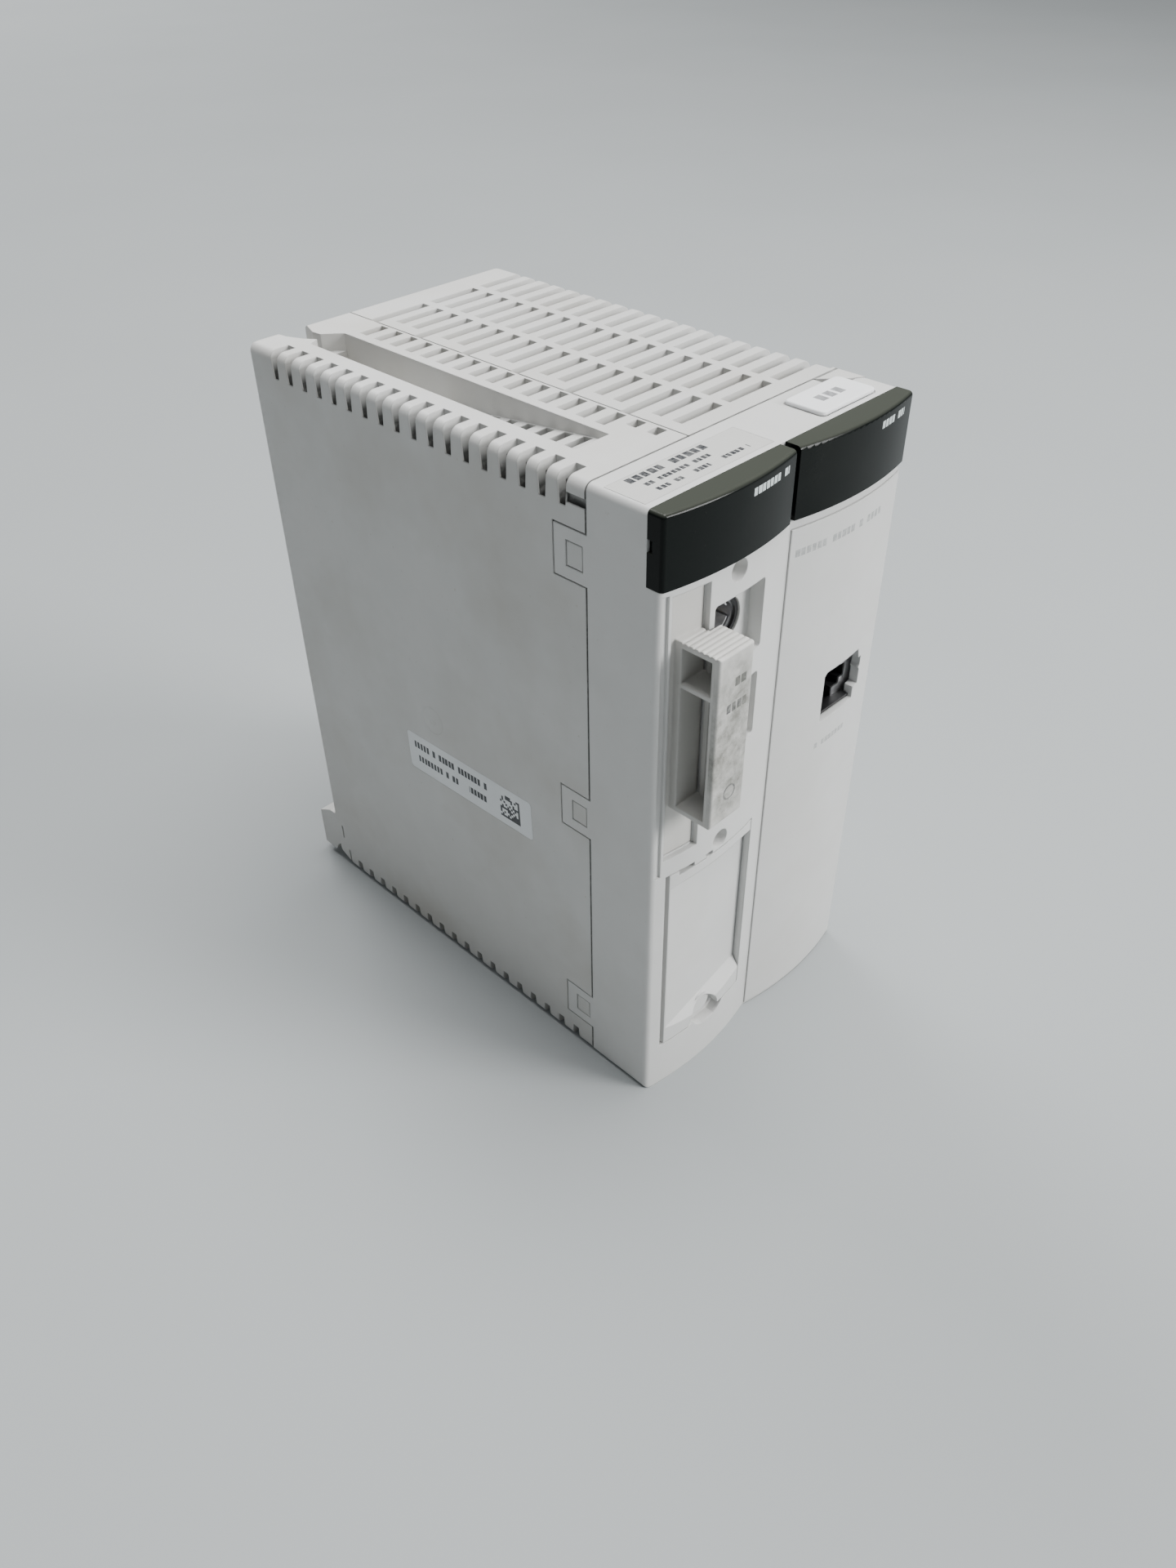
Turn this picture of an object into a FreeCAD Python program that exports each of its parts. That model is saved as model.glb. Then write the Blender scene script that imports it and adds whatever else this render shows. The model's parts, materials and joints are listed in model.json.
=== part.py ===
import FreeCAD, Part
import math
import os

from FreeCAD import Vector

# Double-width rack controller. Millimetres. Drafting frame: X to the right seen from the front,
# Y = 0 on the rear plane with the front at negative Y, Z = 0 on the bottom. On export everything
# shifts along Y so that the origin is under the middle of the whole module.

# ---- driving dimensions ----
module_width = 37.0          # one rack position; the controller takes two
case_height = 151.0
case_depth = 103.7           # rear plane to the seam of the front cover
cover_depth = 17.3           # seam to the front corners
front_bulge = 2.2            # how far the middle of each module's front stands out
wall = 2.2                   # casings and the cover's sides
front_wall = 4.5             # cover's front wall, corner to its inner face
edge_round = 2.0             # long outer edges
seam_gap = 0.3               # gap wherever two casing parts meet
cover_lip = 4.0              # the cover's inner lip reaches this far into the casings
lip_wall = 1.0
fit_gap = 0.25               # free gap round a piece that seats in a pocket
run_gap = 0.3                # gap beside a piece that slides
pin_gap = 0.05               # radial clearance of a pin or shaft in its hole
overlap = 1.0                # how far a cutter reaches past a face

split_x = -9.8               # joint line between the two casings

slot_pitch = 5.15            # cooling slots
slot_width = 2.4
slot_margin = 10.3           # rear plane to the first slot
comb_depth = 5.0             # slots run this far in from a long edge
comb_height = 5.7            # and this far down the side
comb_foot = 4.2              # and this far up it from the bottom
comb_mouth = 2.7             # an edge slot is this wide at the edge
comb_narrow = 1.7            # and this wide at its far end
comb_floor_fall = 3.4        # the floor of an upper edge slot falls this much through the wall
baffle = 1.0                 # thickness of the strips behind the slots
corner_run = 1.1             # how far a corner strip spans along each wall
baffle_drop = 3.2            # fall of the strip under a column of slots
column_gap = 2.2             # solid strip between two columns of slots
column_middle = 5.5          # right end of the first column
column_right = 21.0          # right end of the second
strip_slot = 6.2             # length of the slots beside the screwdriver groove
groove_slots_from = 48.0     # rear plane to where slots open the groove's floor

groove_wall_x = -19.2        # inner side of the screwdriver groove
groove_width = 9.0
groove_end = 12.2            # seam to the groove's front end
groove_rear_depth = 11.2     # depth of the groove at the screw boss
groove_front_depth = 1.4
trough_wall = 1.5
jog_left = 28.4              # the right casing's top reaches forward from here
jog_corner = 33.6

boss_length = 12.0           # screw boss on the rear wall
screw_x = -24.5
screw_drop = 7.0             # top of the casing to the screw's axis
screw_thread_r = 2.0
screw_neck_r = 1.6           # thinner neck that the clip holds
screw_head_r = 3.4
screw_head_length = 5.0
screw_thread = 5.0           # length of thread
screw_reach = 5.5            # thread's end beyond the rear plane when driven home
screw_travel = 5.0
screw_gap = 0.15             # round the thread in the casing
screw_slot_width = 1.0
screw_slot_depth = 1.6
screw_tip = 0.5              # chamfer of the thread's end
# the mouth above the screw: across from its axis, and forward of the rear plane
mouth_left = ((-5.2, 0.0), (-4.6, 4.1), (-2.9, 8.0), (-1.1, 10.6))
mouth_right = ((3.5, 0.0), (1.0, 6.0), (1.3, 8.4), (3.9, 10.7))
mouth_floor = 1.2            # above the screw's thread
clip_thickness = 0.8
clip_r = 3.2

tongue_length = 8.3          # snap tongues of the front cover
tongue_thickness = 1.1
tongue_height = 10.4
tongue_window = 5.4
tongue_window_start = 0.9    # seam to the tongue's window
tongue_window_end = 5.3
tongue_gap = 0.35            # round a tongue in its recess

lug_reach = 6.3              # rear mounting lugs
lug_width = 6.0
lug_low = 2.3
lug_high = 14.3
lug_slope = 2.7              # the lug's upper side rises by this to its root
lug_step = 1.2
rear_chamfer_y = 9.0
rear_chamfer_z = 4.4

display_height = 14.6
display_depth = 2.9          # from the front corners back to its rear edge
display_proud = 0.65
display_wall = 1.6
display_round = 0.9
display_notch = (7.9, 5.4, 1.2, 0.7)   # below the top: low and high; length and depth
indicator_count = 5          # lights in each row
indicator_width = 2.4
indicator_height = 1.8
indicator_rows = (3.4, 7.6)  # above the display window's lower edge

board_thickness = 1.6
board_screw_inset = 4.5
processor_board_x = -23.0    # component side
network_board_x = 12.0       # solder side
board_low = 6.0              # lower edge of both boards
chip_gap = 0.05
# chips: middle along Y and Z, size along Y and Z, height
processor_chip_list = ((-62.0, 78.0, 26.0, 26.0, 2.4), (-62.0, 40.0, 20.0, 14.0, 1.6),
                       (-88.0, 40.0, 12.0, 18.0, 1.6), (-34.0, 40.0, 14.0, 18.0, 2.0))
network_chip_list = ((-60.0, 80.0, 22.0, 22.0, 2.2), (-88.0, 58.0, 14.0, 12.0, 3.0),
                     (-40.0, 44.0, 12.0, 16.0, 1.8))
spacer_r = 3.0
board_screw_head_r = 2.8
board_screw_shank_r = 1.5
board_screw_length = 7.0

card_thickness = 5.0
card_height = 54.0
card_length = 85.6
card_in_wall = 1.0            # the card's front end stands in the cover's wall
header_depth = 6.0           # the card's connector
header_tail = 2.0            # its solder side starts this far behind the card
card_side_room = 0.45         # card cage to the cover's lip
cage_wall = 0.8
cage_shelf = 1.2             # above and below the card
card_step_height = 3.0       # the card's edges are stepped to run in guides
card_step_width = 3.3
header_pin_rows = 17
header_pin_r = 0.22
header_end = 8.0             # card's top and bottom edge to the header's tail
card_pocket_low = 78.5       # below the casing's top
card_pocket_high = 16.5
card_pocket_width = 9.0
card_pocket_depth = 1.2
card_plate = 1.6
card_travel = 96.0

grip_left = -32.0
grip_right = -22.2
grip_reach = 10.4            # from the front corners
grip_low = 65.4              # below the casing's top
grip_high = 26.2
grip_plate = 1.8
grip_wall = 1.2
grip_gap = 0.4               # grip clear of the cover that it overhangs
grip_rib_drop = 9.2          # top of the grip to its rib
grip_ridge_pitch = 1.25
grip_ridge_depth = 0.35

port_x = -16.0               # the two round sockets
port_window = 15.2
terminal_drop = 30.0         # below the casing's top
auxiliary_drop = 51.0
terminal_floor = 1.8         # floor of the window behind the front corners
auxiliary_floor = 0.5
socket_r = 4.7
socket_bore_r = 3.9
socket_depth = 12.0
socket_pins = 8
socket_pin_circle = 2.3
socket_pin_r = 0.3
socket_pin_length = 4.0
socket_body = 6.4            # half side of the square body
socket_collar = 0.35
socket_floor = 2.0

button_x = -17.4
reset_drop = 17.2
release_drop = 81.7
button_r = 1.2
button_hole_r = 1.9
button_recess = 1.6
reset_travel = 0.8
release_travel = 1.5

door_left = -32.1
door_right = -5.0
door_bottom = 13.8
door_bridge = 6.2            # card pocket down to the top of the slot cover
door_gap = 0.25
door_side_gap = 1.1          # beside the hinge
door_thickness = 2.6         # corner plane of the front to the cover's back
door_seat_gap = 0.15         # behind the cover
door_wedge = 1.9             # depth of the slanted face at its right side
dip_top = 2.6                # slanted face: from the cover's top
dip_bottom = 2.8             # and its ramp, from the bottom
dip_ramp = 8.4
dip_top_slope = 2.5          # its top slopes over this height
notch_x = -17.0              # finger notch in the cover's lower edge
notch_r = 6.2
nail_x = -18.8               # finger piece of the slot cover
nail_scoop_r = 5.2
nail_r = 2.9
door_swing = 95.0
bay_margin = 3.2             # lower card cage to the slot cover's top and bottom
door_back_round = 1.2        # rounded rear edge beside the hinge
hinge_pin_r = 0.6
hinge_inset = 0.6            # hinge axis behind the front corners' plane
hinge_edge = 1.4             # hinge axis to the cover's left edge
hinge_pin_hold = 1.4         # pin in the front cover
hinge_pin_grip = 1.6         # pin in the slot cover
ear_width = 2.6              # ear over the upper pin
ear_height = 1.2
ear_room = 1.2               # beside the ear, for its rear corner as the cover swings
latch_left = -28.8           # latch slot over the slot cover
latch_width = 3.6
latch_height = 1.3
latch_depth = 1.6

panel_top = 16.7             # network panel, below the casing's top
panel_margin = 0.4
panel_thickness = 2.2
panel_proud = 0.25
jack_left = 15.4
jack_width = 12.9
jack_low_drop = 68.4         # below the casing's top
jack_height = 12.8
jack_notch = 2.0
jack_notch_height = 7.4
jack_depth = 18.0
jack_wall = 1.2
shield = 0.35

bus_x = 12.0
bus_width = 11.0
bus_height = 74.0
bus_depth = 9.0
bus_columns = 3
bus_rows = 24
bus_pitch = 2.54

label_thickness = 0.15
label_corner = 0.9
side_label_box = (-85.3, -42.0, 57.4, 68.2)
side_label_tilt = -1.6
label_margin_front = 4.5     # front corners to the top label and the marker
label_margin_rear = 3.3      # the same two to the seam
marker_left = 14.0
marker_right = 31.5
marker_thickness = 0.8
marker_corner = 1.2
marker_round = 0.3

# ---- values that follow ----
half_width = module_width
front_y = -(case_depth + cover_depth)
seam_y = -case_depth
front_inner_y = front_y + front_wall
slot_count = int((case_depth - slot_margin - slot_width) / slot_pitch) + 1
slot_places = [-slot_margin - slot_pitch * i for i in range(slot_count)]
groove_left_x = groove_wall_x - groove_width
groove_front_y = seam_y + groove_end
groove_rear_y = -boss_length
screw_z = case_height - screw_drop
pocket_low_z = case_height - card_pocket_low
pocket_high_z = case_height - card_pocket_high
pocket_mid_z = (pocket_low_z + pocket_high_z) / 2
card_x = (-module_width + wall + fit_gap + lip_wall + card_side_room + cage_wall + run_gap
          + card_thickness / 2)
card_front_y = front_inner_y - card_in_wall
card_rear_y = card_front_y + card_length
pocket_left = card_x - card_pocket_width / 2
pocket_right = card_x + card_pocket_width / 2
door_top = pocket_low_z - door_bridge
hinge_x = door_left + hinge_edge
hinge_y = front_y + hinge_inset
door_back_y = front_y + door_thickness
shift_y = (-front_y + grip_reach - lug_reach) / 2
lip_end_y = seam_y + cover_lip
board_rear_y = -wall - bus_depth - board_thickness - 1.0
between_cards_z = ((pocket_mid_z - card_height / 2 - run_gap - cage_shelf) + (door_top - bay_margin)) / 2
display_low_z = case_height - display_height
display_back_y = front_y + display_depth
tongue_centres = (case_height - 15.1, case_height / 2 - 0.5, 14.0)


# ---- small builders ----
def block(x0, x1, y0, y1, z0, z1):
    low = Vector(min(x0, x1), min(y0, y1), min(z0, z1))
    return Part.makeBox(abs(x1 - x0), abs(y1 - y0), abs(z1 - z0), low)


def rod_x(x0, x1, y, z, r):
    return Part.makeCylinder(r, abs(x1 - x0), Vector(min(x0, x1), y, z), Vector(1, 0, 0))


def rod_y(y0, y1, x, z, r):
    return Part.makeCylinder(r, abs(y1 - y0), Vector(x, min(y0, y1), z), Vector(0, 1, 0))


def rod_z(z0, z1, x, y, r):
    return Part.makeCylinder(r, abs(z1 - z0), Vector(x, y, min(z0, z1)), Vector(0, 0, 1))


def prism(points, along):
    wire = Part.makePolygon(points + [points[0]])
    return Part.Face(wire).extrude(along)


def prism_xy(points, z0, z1):
    return prism([Vector(x, y, z0) for x, y in points], Vector(0, 0, z1 - z0))


def prism_yz(points, x0, x1):
    return prism([Vector(x0, y, z) for y, z in points], Vector(x1 - x0, 0, 0))


def prism_xz(points, y0, y1):
    return prism([Vector(x, y0, z) for x, z in points], Vector(0, y1 - y0, 0))


def fuse_all(shapes):
    return shapes[0].multiFuse(shapes[1:]).removeSplitter()


def round_edges(shape, radius, wanted):
    edges = [edge for edge in shape.Edges if wanted(edge.BoundBox)]
    return shape.makeFillet(radius, edges)


def bulge(x):
    """How far the front stands out past its corners at x."""
    mid = module_width / 2 if x > 0 else -module_width / 2
    return front_bulge * (1 - ((x - mid) / (module_width / 2)) ** 2)


def front_profile(offset, x0, x1, y_back, z0, z1):
    """A solid behind the bulging front, moved out by offset, between x0 and x1."""
    faces = []
    for left in (-module_width, 0.0):
        right = left + module_width
        start = Vector(left, front_y - offset, z0)
        middle = Vector((left + right) / 2, front_y - front_bulge - offset, z0)
        end = Vector(right, front_y - offset, z0)
        edges = [
            Part.Arc(start, middle, end).toShape(),
            Part.LineSegment(end, Vector(right, y_back, z0)).toShape(),
            Part.LineSegment(Vector(right, y_back, z0), Vector(left, y_back, z0)).toShape(),
            Part.LineSegment(Vector(left, y_back, z0), start).toShape(),
        ]
        faces.append(Part.Face(Part.Wire(edges)).extrude(Vector(0, 0, z1 - z0)))
    body = faces[0].fuse(faces[1]).removeSplitter()
    return body.common(block(x0, x1, front_y - front_bulge - offset - overlap, y_back, z0, z1))


def wall_slot(x0, x1, y, z0, z1):
    return block(x0, x1, y - slot_width / 2, y + slot_width / 2, z0, z1)


def edge_slot(side, y, top):
    """Cutter for one tapered slot over a long edge; side -1 left or 1 right, top True or False."""
    wide = comb_mouth / 2
    narrow = comb_narrow / 2
    outer = side * (half_width + overlap)
    inner = side * (half_width - comb_depth)
    edge = case_height + overlap if top else -overlap
    end = case_height - comb_height if top else comb_foot
    slot = prism_yz([(y - wide, edge), (y + wide, edge), (y + narrow, end), (y - narrow, end)], outer, inner)
    if not top:
        return slot
    past_wall = side * (half_width - wall - overlap)
    fall = comb_floor_fall * (wall + overlap) / wall
    floor = prism_xz([(side * half_width, end), (past_wall, end - fall), (past_wall, end + overlap),
                      (side * half_width, end + overlap)], y - narrow, y + narrow)
    return slot.fuse(floor)


written = []


def save(name, shape):
    if isinstance(shape, list):
        shape = Part.makeCompound(shape)
    moved = shape.copy()
    moved.translate(Vector(0, shift_y, 0))
    moved.exportStep("parts/" + name + ".step")
    written.append(name)


# ---- casings ----
def casing_blank(x0, x1, side):
    outline = [(0, rear_chamfer_z), (-rear_chamfer_y, 0), (seam_y + seam_gap / 2, 0),
               (seam_y + seam_gap / 2, case_height), (0, case_height)]
    outer = prism_yz(outline, x0, x1)
    side_x = x0 if side < 0 else x1

    def long_edge(box):
        on_side = abs(box.XMin - side_x) < 0.01 and abs(box.XMax - side_x) < 0.01
        flat = box.ZLength < 0.01 and (box.ZMin < 0.01 or box.ZMin > case_height - 0.01)
        upright = box.YLength < 0.01 and box.YMin > -0.01
        rear_top = upright and box.ZMin > case_height - 0.01
        return rear_top or (on_side and (flat or upright))

    outer = round_edges(outer, edge_round, long_edge)
    inner_x0 = x0 + wall if side < 0 else x0 - overlap
    inner_x1 = x1 + overlap if side < 0 else x1 - wall
    hollow = prism_yz([(-wall, rear_chamfer_z + wall), (-rear_chamfer_y - wall, wall),
                       (seam_y - overlap, wall), (seam_y - overlap, case_height - wall),
                       (-wall, case_height - wall)], inner_x0, inner_x1)
    return outer.cut(hollow)


def baffles(side):
    """Slanted strips in the corners behind the top and bottom edge slots."""
    pieces = []
    inner = half_width - wall
    run = corner_run
    for top in (True, False):
        base = case_height - wall if top else wall
        down = -1 if top else 1
        points = [(side * inner, base + down * run), (side * (inner - run), base),
                  (side * (inner - run - baffle), base), (side * inner, base + down * (run + baffle))]
        pieces.append(prism_xz(points, -slot_margin + slot_pitch / 2, lip_end_y + run_gap))
    return pieces


def column_baffle(x0, x1):
    """Strip under a column of slots in the top, falling to the right."""
    base = case_height - wall
    points = [(x0, base + baffle / 2), (x1, base - baffle_drop), (x1, base - baffle_drop - baffle),
              (x0, base - baffle)]
    return prism_xz(points, -slot_margin + slot_pitch / 2, lip_end_y + run_gap)


def rear_lug(x0, x1):
    root = lug_high + lug_slope
    points = [(-wall, root), (lug_step, root), (lug_reach, lug_high), (lug_reach, lug_low),
              (lug_step, lug_low), (0, rear_chamfer_z), (-wall, rear_chamfer_z + wall)]
    return prism_yz(points, x0, x1)


def tongue_recess(side, z, depth, margin):
    outer = side * (half_width + overlap)
    inner = side * (half_width - depth)
    back = seam_y + tongue_length + margin
    half = tongue_height / 2 + margin
    return block(outer, inner, seam_y - overlap, back, z - half, z + half)


def tongue_nub(side, z):
    outer = side * (half_width - 0.1)
    inner = side * (half_width - wall)
    half = tongue_window / 2 - fit_gap
    return block(outer, inner, seam_y + tongue_window_start + fit_gap, seam_y + tongue_window_end - fit_gap,
                 z - half, z + half)


def casing_left():
    x1 = split_x - seam_gap / 2
    body = casing_blank(-half_width, x1, -1)
    trough_rear = -wall
    floor_rear = case_height - groove_rear_depth
    floor_front = case_height - groove_front_depth
    trough = prism_yz([(trough_rear, floor_rear - trough_wall), (groove_front_y, floor_front - trough_wall),
                       (groove_front_y - trough_wall, case_height - wall), (trough_rear, case_height - wall)],
                      groove_left_x - trough_wall, groove_wall_x + trough_wall)
    boss = block(groove_left_x - trough_wall - 1.0, groove_wall_x + trough_wall,
                 -boss_length - trough_wall, -overlap, floor_rear - trough_wall, case_height - wall)
    strip_baffle = column_baffle(groove_wall_x + trough_wall, x1 - 1.0)
    lug = rear_lug(-half_width, -half_width + lug_width)
    body = body.fuse([trough, boss, strip_baffle, lug] + baffles(-1))
    cuts = []
    cuts.append(prism_yz([(groove_rear_y, floor_rear), (groove_front_y, floor_front),
                          (groove_front_y - 1.5, case_height + overlap),
                          (groove_rear_y, case_height + overlap)], groove_left_x, groove_wall_x))
    cuts.append(rod_y(groove_rear_y - overlap, -wall - 1.0, screw_x, screw_z, screw_head_r + run_gap))
    cuts.append(rod_y(-wall - 2.0, overlap, screw_x, screw_z, screw_thread_r + screw_gap))
    # the mouth above the screw narrows between two lobes and widens again at the rear
    left = [(screw_x + across, -back if back else overlap) for across, back in mouth_left]
    right = [(screw_x + across, -back if back else overlap) for across, back in reversed(mouth_right)]
    mouth = left + [(groove_left_x, groove_rear_y), (groove_wall_x, groove_rear_y)] + right
    cuts.append(prism_xy(mouth, screw_z + screw_thread_r + mouth_floor, case_height + overlap))
    strip_left = groove_wall_x + trough_wall + 0.9
    strip_right = strip_left + strip_slot
    top_low = case_height - wall - overlap
    top_high = case_height + overlap
    for y in slot_places:
        cuts.append(edge_slot(-1, y, True))
        cuts.append(edge_slot(-1, y, False))
        if groove_front_y + slot_width < y < -boss_length - slot_width:
            cuts.append(wall_slot(strip_left, strip_right, y, top_low, top_high))
        elif y <= groove_front_y:
            cuts.append(wall_slot(strip_right - strip_slot / 2, strip_right, y, top_low, top_high))
        if groove_front_y + slot_width < y < -groove_slots_from:
            cuts.append(wall_slot(groove_left_x, groove_wall_x - 0.4, y, floor_rear, top_high))
        cuts.append(wall_slot(-half_width + comb_depth + column_gap, x1 - column_gap, y,
                              -overlap, wall + overlap))
    for z in tongue_centres:
        cuts.append(tongue_recess(-1, z, tongue_thickness + 0.1, tongue_gap))
    cuts.append(block(-half_width - overlap, -half_width + 0.8, seam_y, seam_y + 4.8,
                      case_height - 5.0, case_height - 3.0))
    cuts.append(side_label_solid(0.05))
    for y0, z0, z1 in ((-3.6, 9.5, 14.0), (-5.4, 1.5, 5.8)):
        cuts.append(block(-half_width - overlap, -half_width + 0.6, y0 - 0.6, y0, z0, z1))
    body = body.cut(cuts)
    body = body.fuse([tongue_nub(-1, z) for z in tongue_centres])
    rear_end = -rear_chamfer_y - wall - 1.0
    front_end = lip_end_y + 2.0
    lip = block(split_x - 3.0, split_x + 1.4, rear_end, front_end, wall + fit_gap, wall + fit_gap + 1.0)
    foot = block(split_x - 3.0, split_x - 1.5, rear_end, front_end, wall - 0.5, wall + fit_gap + 0.5)
    return body.fuse([lip, foot]).removeSplitter()


def right_columns():
    """Left and right ends of the three columns of slots on the right casing."""
    first = (split_x + 3.3, column_middle)
    second = (column_middle + column_gap, column_right)
    third = (column_right + column_gap, half_width - 3.0)
    return first, second, third


def casing_right():
    x0 = split_x + seam_gap / 2
    body = casing_blank(x0, half_width, 1)
    lugs = [rear_lug(half_width - lug_width, half_width), rear_lug(x0 + 1.0, x0 + 1.0 + lug_width)]
    # the top reaches forward past the seam at the right-hand corner
    jog_right = half_width - 0.6
    outline = [(jog_left, seam_y + overlap), (jog_left, seam_y), (jog_corner, seam_y - 5.1),
               (jog_right, seam_y - 6.8), (jog_right, seam_y + overlap)]
    jog = prism_xy(outline, case_height - wall, case_height)
    first, second, third = right_columns()
    strips = [column_baffle(left - 0.6, right - 0.4) for left, right in (first, second, third)]
    body = body.fuse(baffles(1) + lugs + strips + [jog])
    cuts = []
    for index, y in enumerate(slot_places):
        cuts.append(edge_slot(1, y, False))
        cuts.append(edge_slot(1, y, True))
        start = x0 - 2.0 if index % 3 == 0 else first[0]
        for left, right in ((start, first[1]), second, third):
            cuts.append(wall_slot(left, right, y, case_height - wall - baffle / 2, case_height + overlap))
        for left, right in (first, second):
            cuts.append(wall_slot(left, right, y, -overlap, wall + overlap))
    for z in tongue_centres:
        cuts.append(tongue_recess(1, z, tongue_thickness + 0.1, tongue_gap))
    bus_half = bus_width / 2 + fit_gap
    bus_reach = bus_height / 2 + fit_gap
    cuts.append(block(bus_x - bus_half, bus_x + bus_half, -wall - overlap, overlap,
                      case_height / 2 - bus_reach, case_height / 2 + bus_reach))
    body = body.cut(cuts)
    return body.fuse([tongue_nub(1, z) for z in tongue_centres]).removeSplitter()


# ---- front cover ----
def front_cover():
    back = seam_y - seam_gap / 2
    body = front_profile(0, -half_width, half_width, back, 0, case_height)

    def outer_edge(box):
        upright = box.XLength < 0.01 and box.YLength < 0.01 and abs(abs(box.XMin) - half_width) < 0.01
        corner = upright and box.YMin < back - 1.0
        along = box.XLength < 0.01 and box.ZLength < 0.01 and abs(abs(box.XMin) - half_width) < 0.01
        return corner or along

    body = round_edges(body, edge_round - 0.5, outer_edge)
    hollow = block(-half_width + wall, half_width - wall, back + overlap, front_inner_y,
                   wall, case_height - wall)
    body = body.cut(hollow)
    lip_out = wall + fit_gap
    lip_in = lip_out + lip_wall
    lip_y0 = back - cover_lip
    lip_y1 = lip_end_y
    ring = block(-half_width + lip_out, half_width - lip_out, lip_y0, lip_y1, lip_out, case_height - lip_out)
    ring = ring.cut(block(-half_width + lip_in, half_width - lip_in, lip_y0 - overlap, lip_y1 + overlap,
                          lip_in, case_height - lip_in))
    foot = block(-half_width + wall / 2, half_width - wall / 2, lip_y0, lip_y0 + 2.0, wall / 2,
                 case_height - wall / 2)
    foot = foot.cut(block(-half_width + lip_in, half_width - lip_in, lip_y0 - overlap, lip_y1 + overlap,
                          lip_in, case_height - lip_in))
    body = body.fuse([ring, foot])
    tongues = []
    windows = []
    for side in (-1, 1):
        for z in tongue_centres:
            outer = side * half_width
            inner = side * (half_width - tongue_thickness)
            half = tongue_height / 2
            tongues.append(block(outer, inner, back - 1.0, seam_y + tongue_length, z - half, z + half))
            windows.append(block(side * (half_width + overlap), side * (half_width - tongue_thickness - 0.05),
                                 seam_y + tongue_window_start, seam_y + tongue_window_end,
                                 z - tongue_window / 2, z + tongue_window / 2))
    body = body.fuse(tongues)
    cuts = windows
    # room for the two display windows
    cuts.append(block(-half_width - overlap, half_width + overlap, front_y - front_bulge - overlap,
                      display_back_y, display_low_z, case_height + overlap))
    cuts.append(block(-half_width + wall, half_width - wall, display_back_y + overlap,
                      front_inner_y - overlap, display_low_z, case_height - wall))
    # forward corner of the right casing
    jog_x = jog_left - seam_gap
    past_side = half_width + overlap
    cuts.append(prism_xy([(jog_x, seam_y + overlap), (jog_x, seam_y - 0.2), (jog_corner - 0.2, seam_y - 5.5),
                          (past_side, seam_y - 8.2), (past_side, seam_y + overlap)],
                         case_height - wall - 0.2, case_height + overlap))
    cuts.append(block(jog_x, past_side, seam_y - 6.0, lip_end_y + overlap, case_height - lip_in - 0.2,
                      case_height))
    cuts.append(marker_solid(fit_gap, -0.4))
    cuts.append(type_label_solid(0.05))
    cuts += front_openings()
    body = body.cut(cuts)
    return body.removeSplitter()


def sunk(x0, x1, z0, z1, depth):
    """Cutter that sinks a patch of the front by depth and keeps its bulge."""
    outer = block(x0, x1, front_y - front_bulge - overlap, front_inner_y, z0, z1)
    return outer.cut(front_profile(-depth, -half_width, half_width, front_inner_y + overlap, z0, z1))


def window_cut(centre_z, floor):
    half = port_window / 2
    box = block(port_x - half, port_x + half, front_y - front_bulge - overlap, front_y + floor,
                centre_z - half, centre_z + half)
    return round_edges(box, 0.8, lambda b: b.XLength < 0.01 and b.ZLength < 0.01)


def button_cut(z, tail):
    y_out = front_y - front_bulge - overlap
    parts = [rod_y(y_out, front_inner_y + overlap, button_x, z, button_r + run_gap)]
    mouth = Part.makeCone(button_hole_r + 0.5, button_hole_r - 0.4, button_recess + front_bulge,
                          Vector(button_x, front_y - front_bulge - 0.2, z), Vector(0, 1, 0))
    parts.append(mouth)
    if tail:
        start = Vector(button_x - 3.6, front_y - front_bulge - 0.2, z - 3.0)
        cone = Part.makeCone(1.5, 0.3, 1.7, start, Vector(3.0, 1.2, 2.4))
        parts.append(cone)
    return parts


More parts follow.
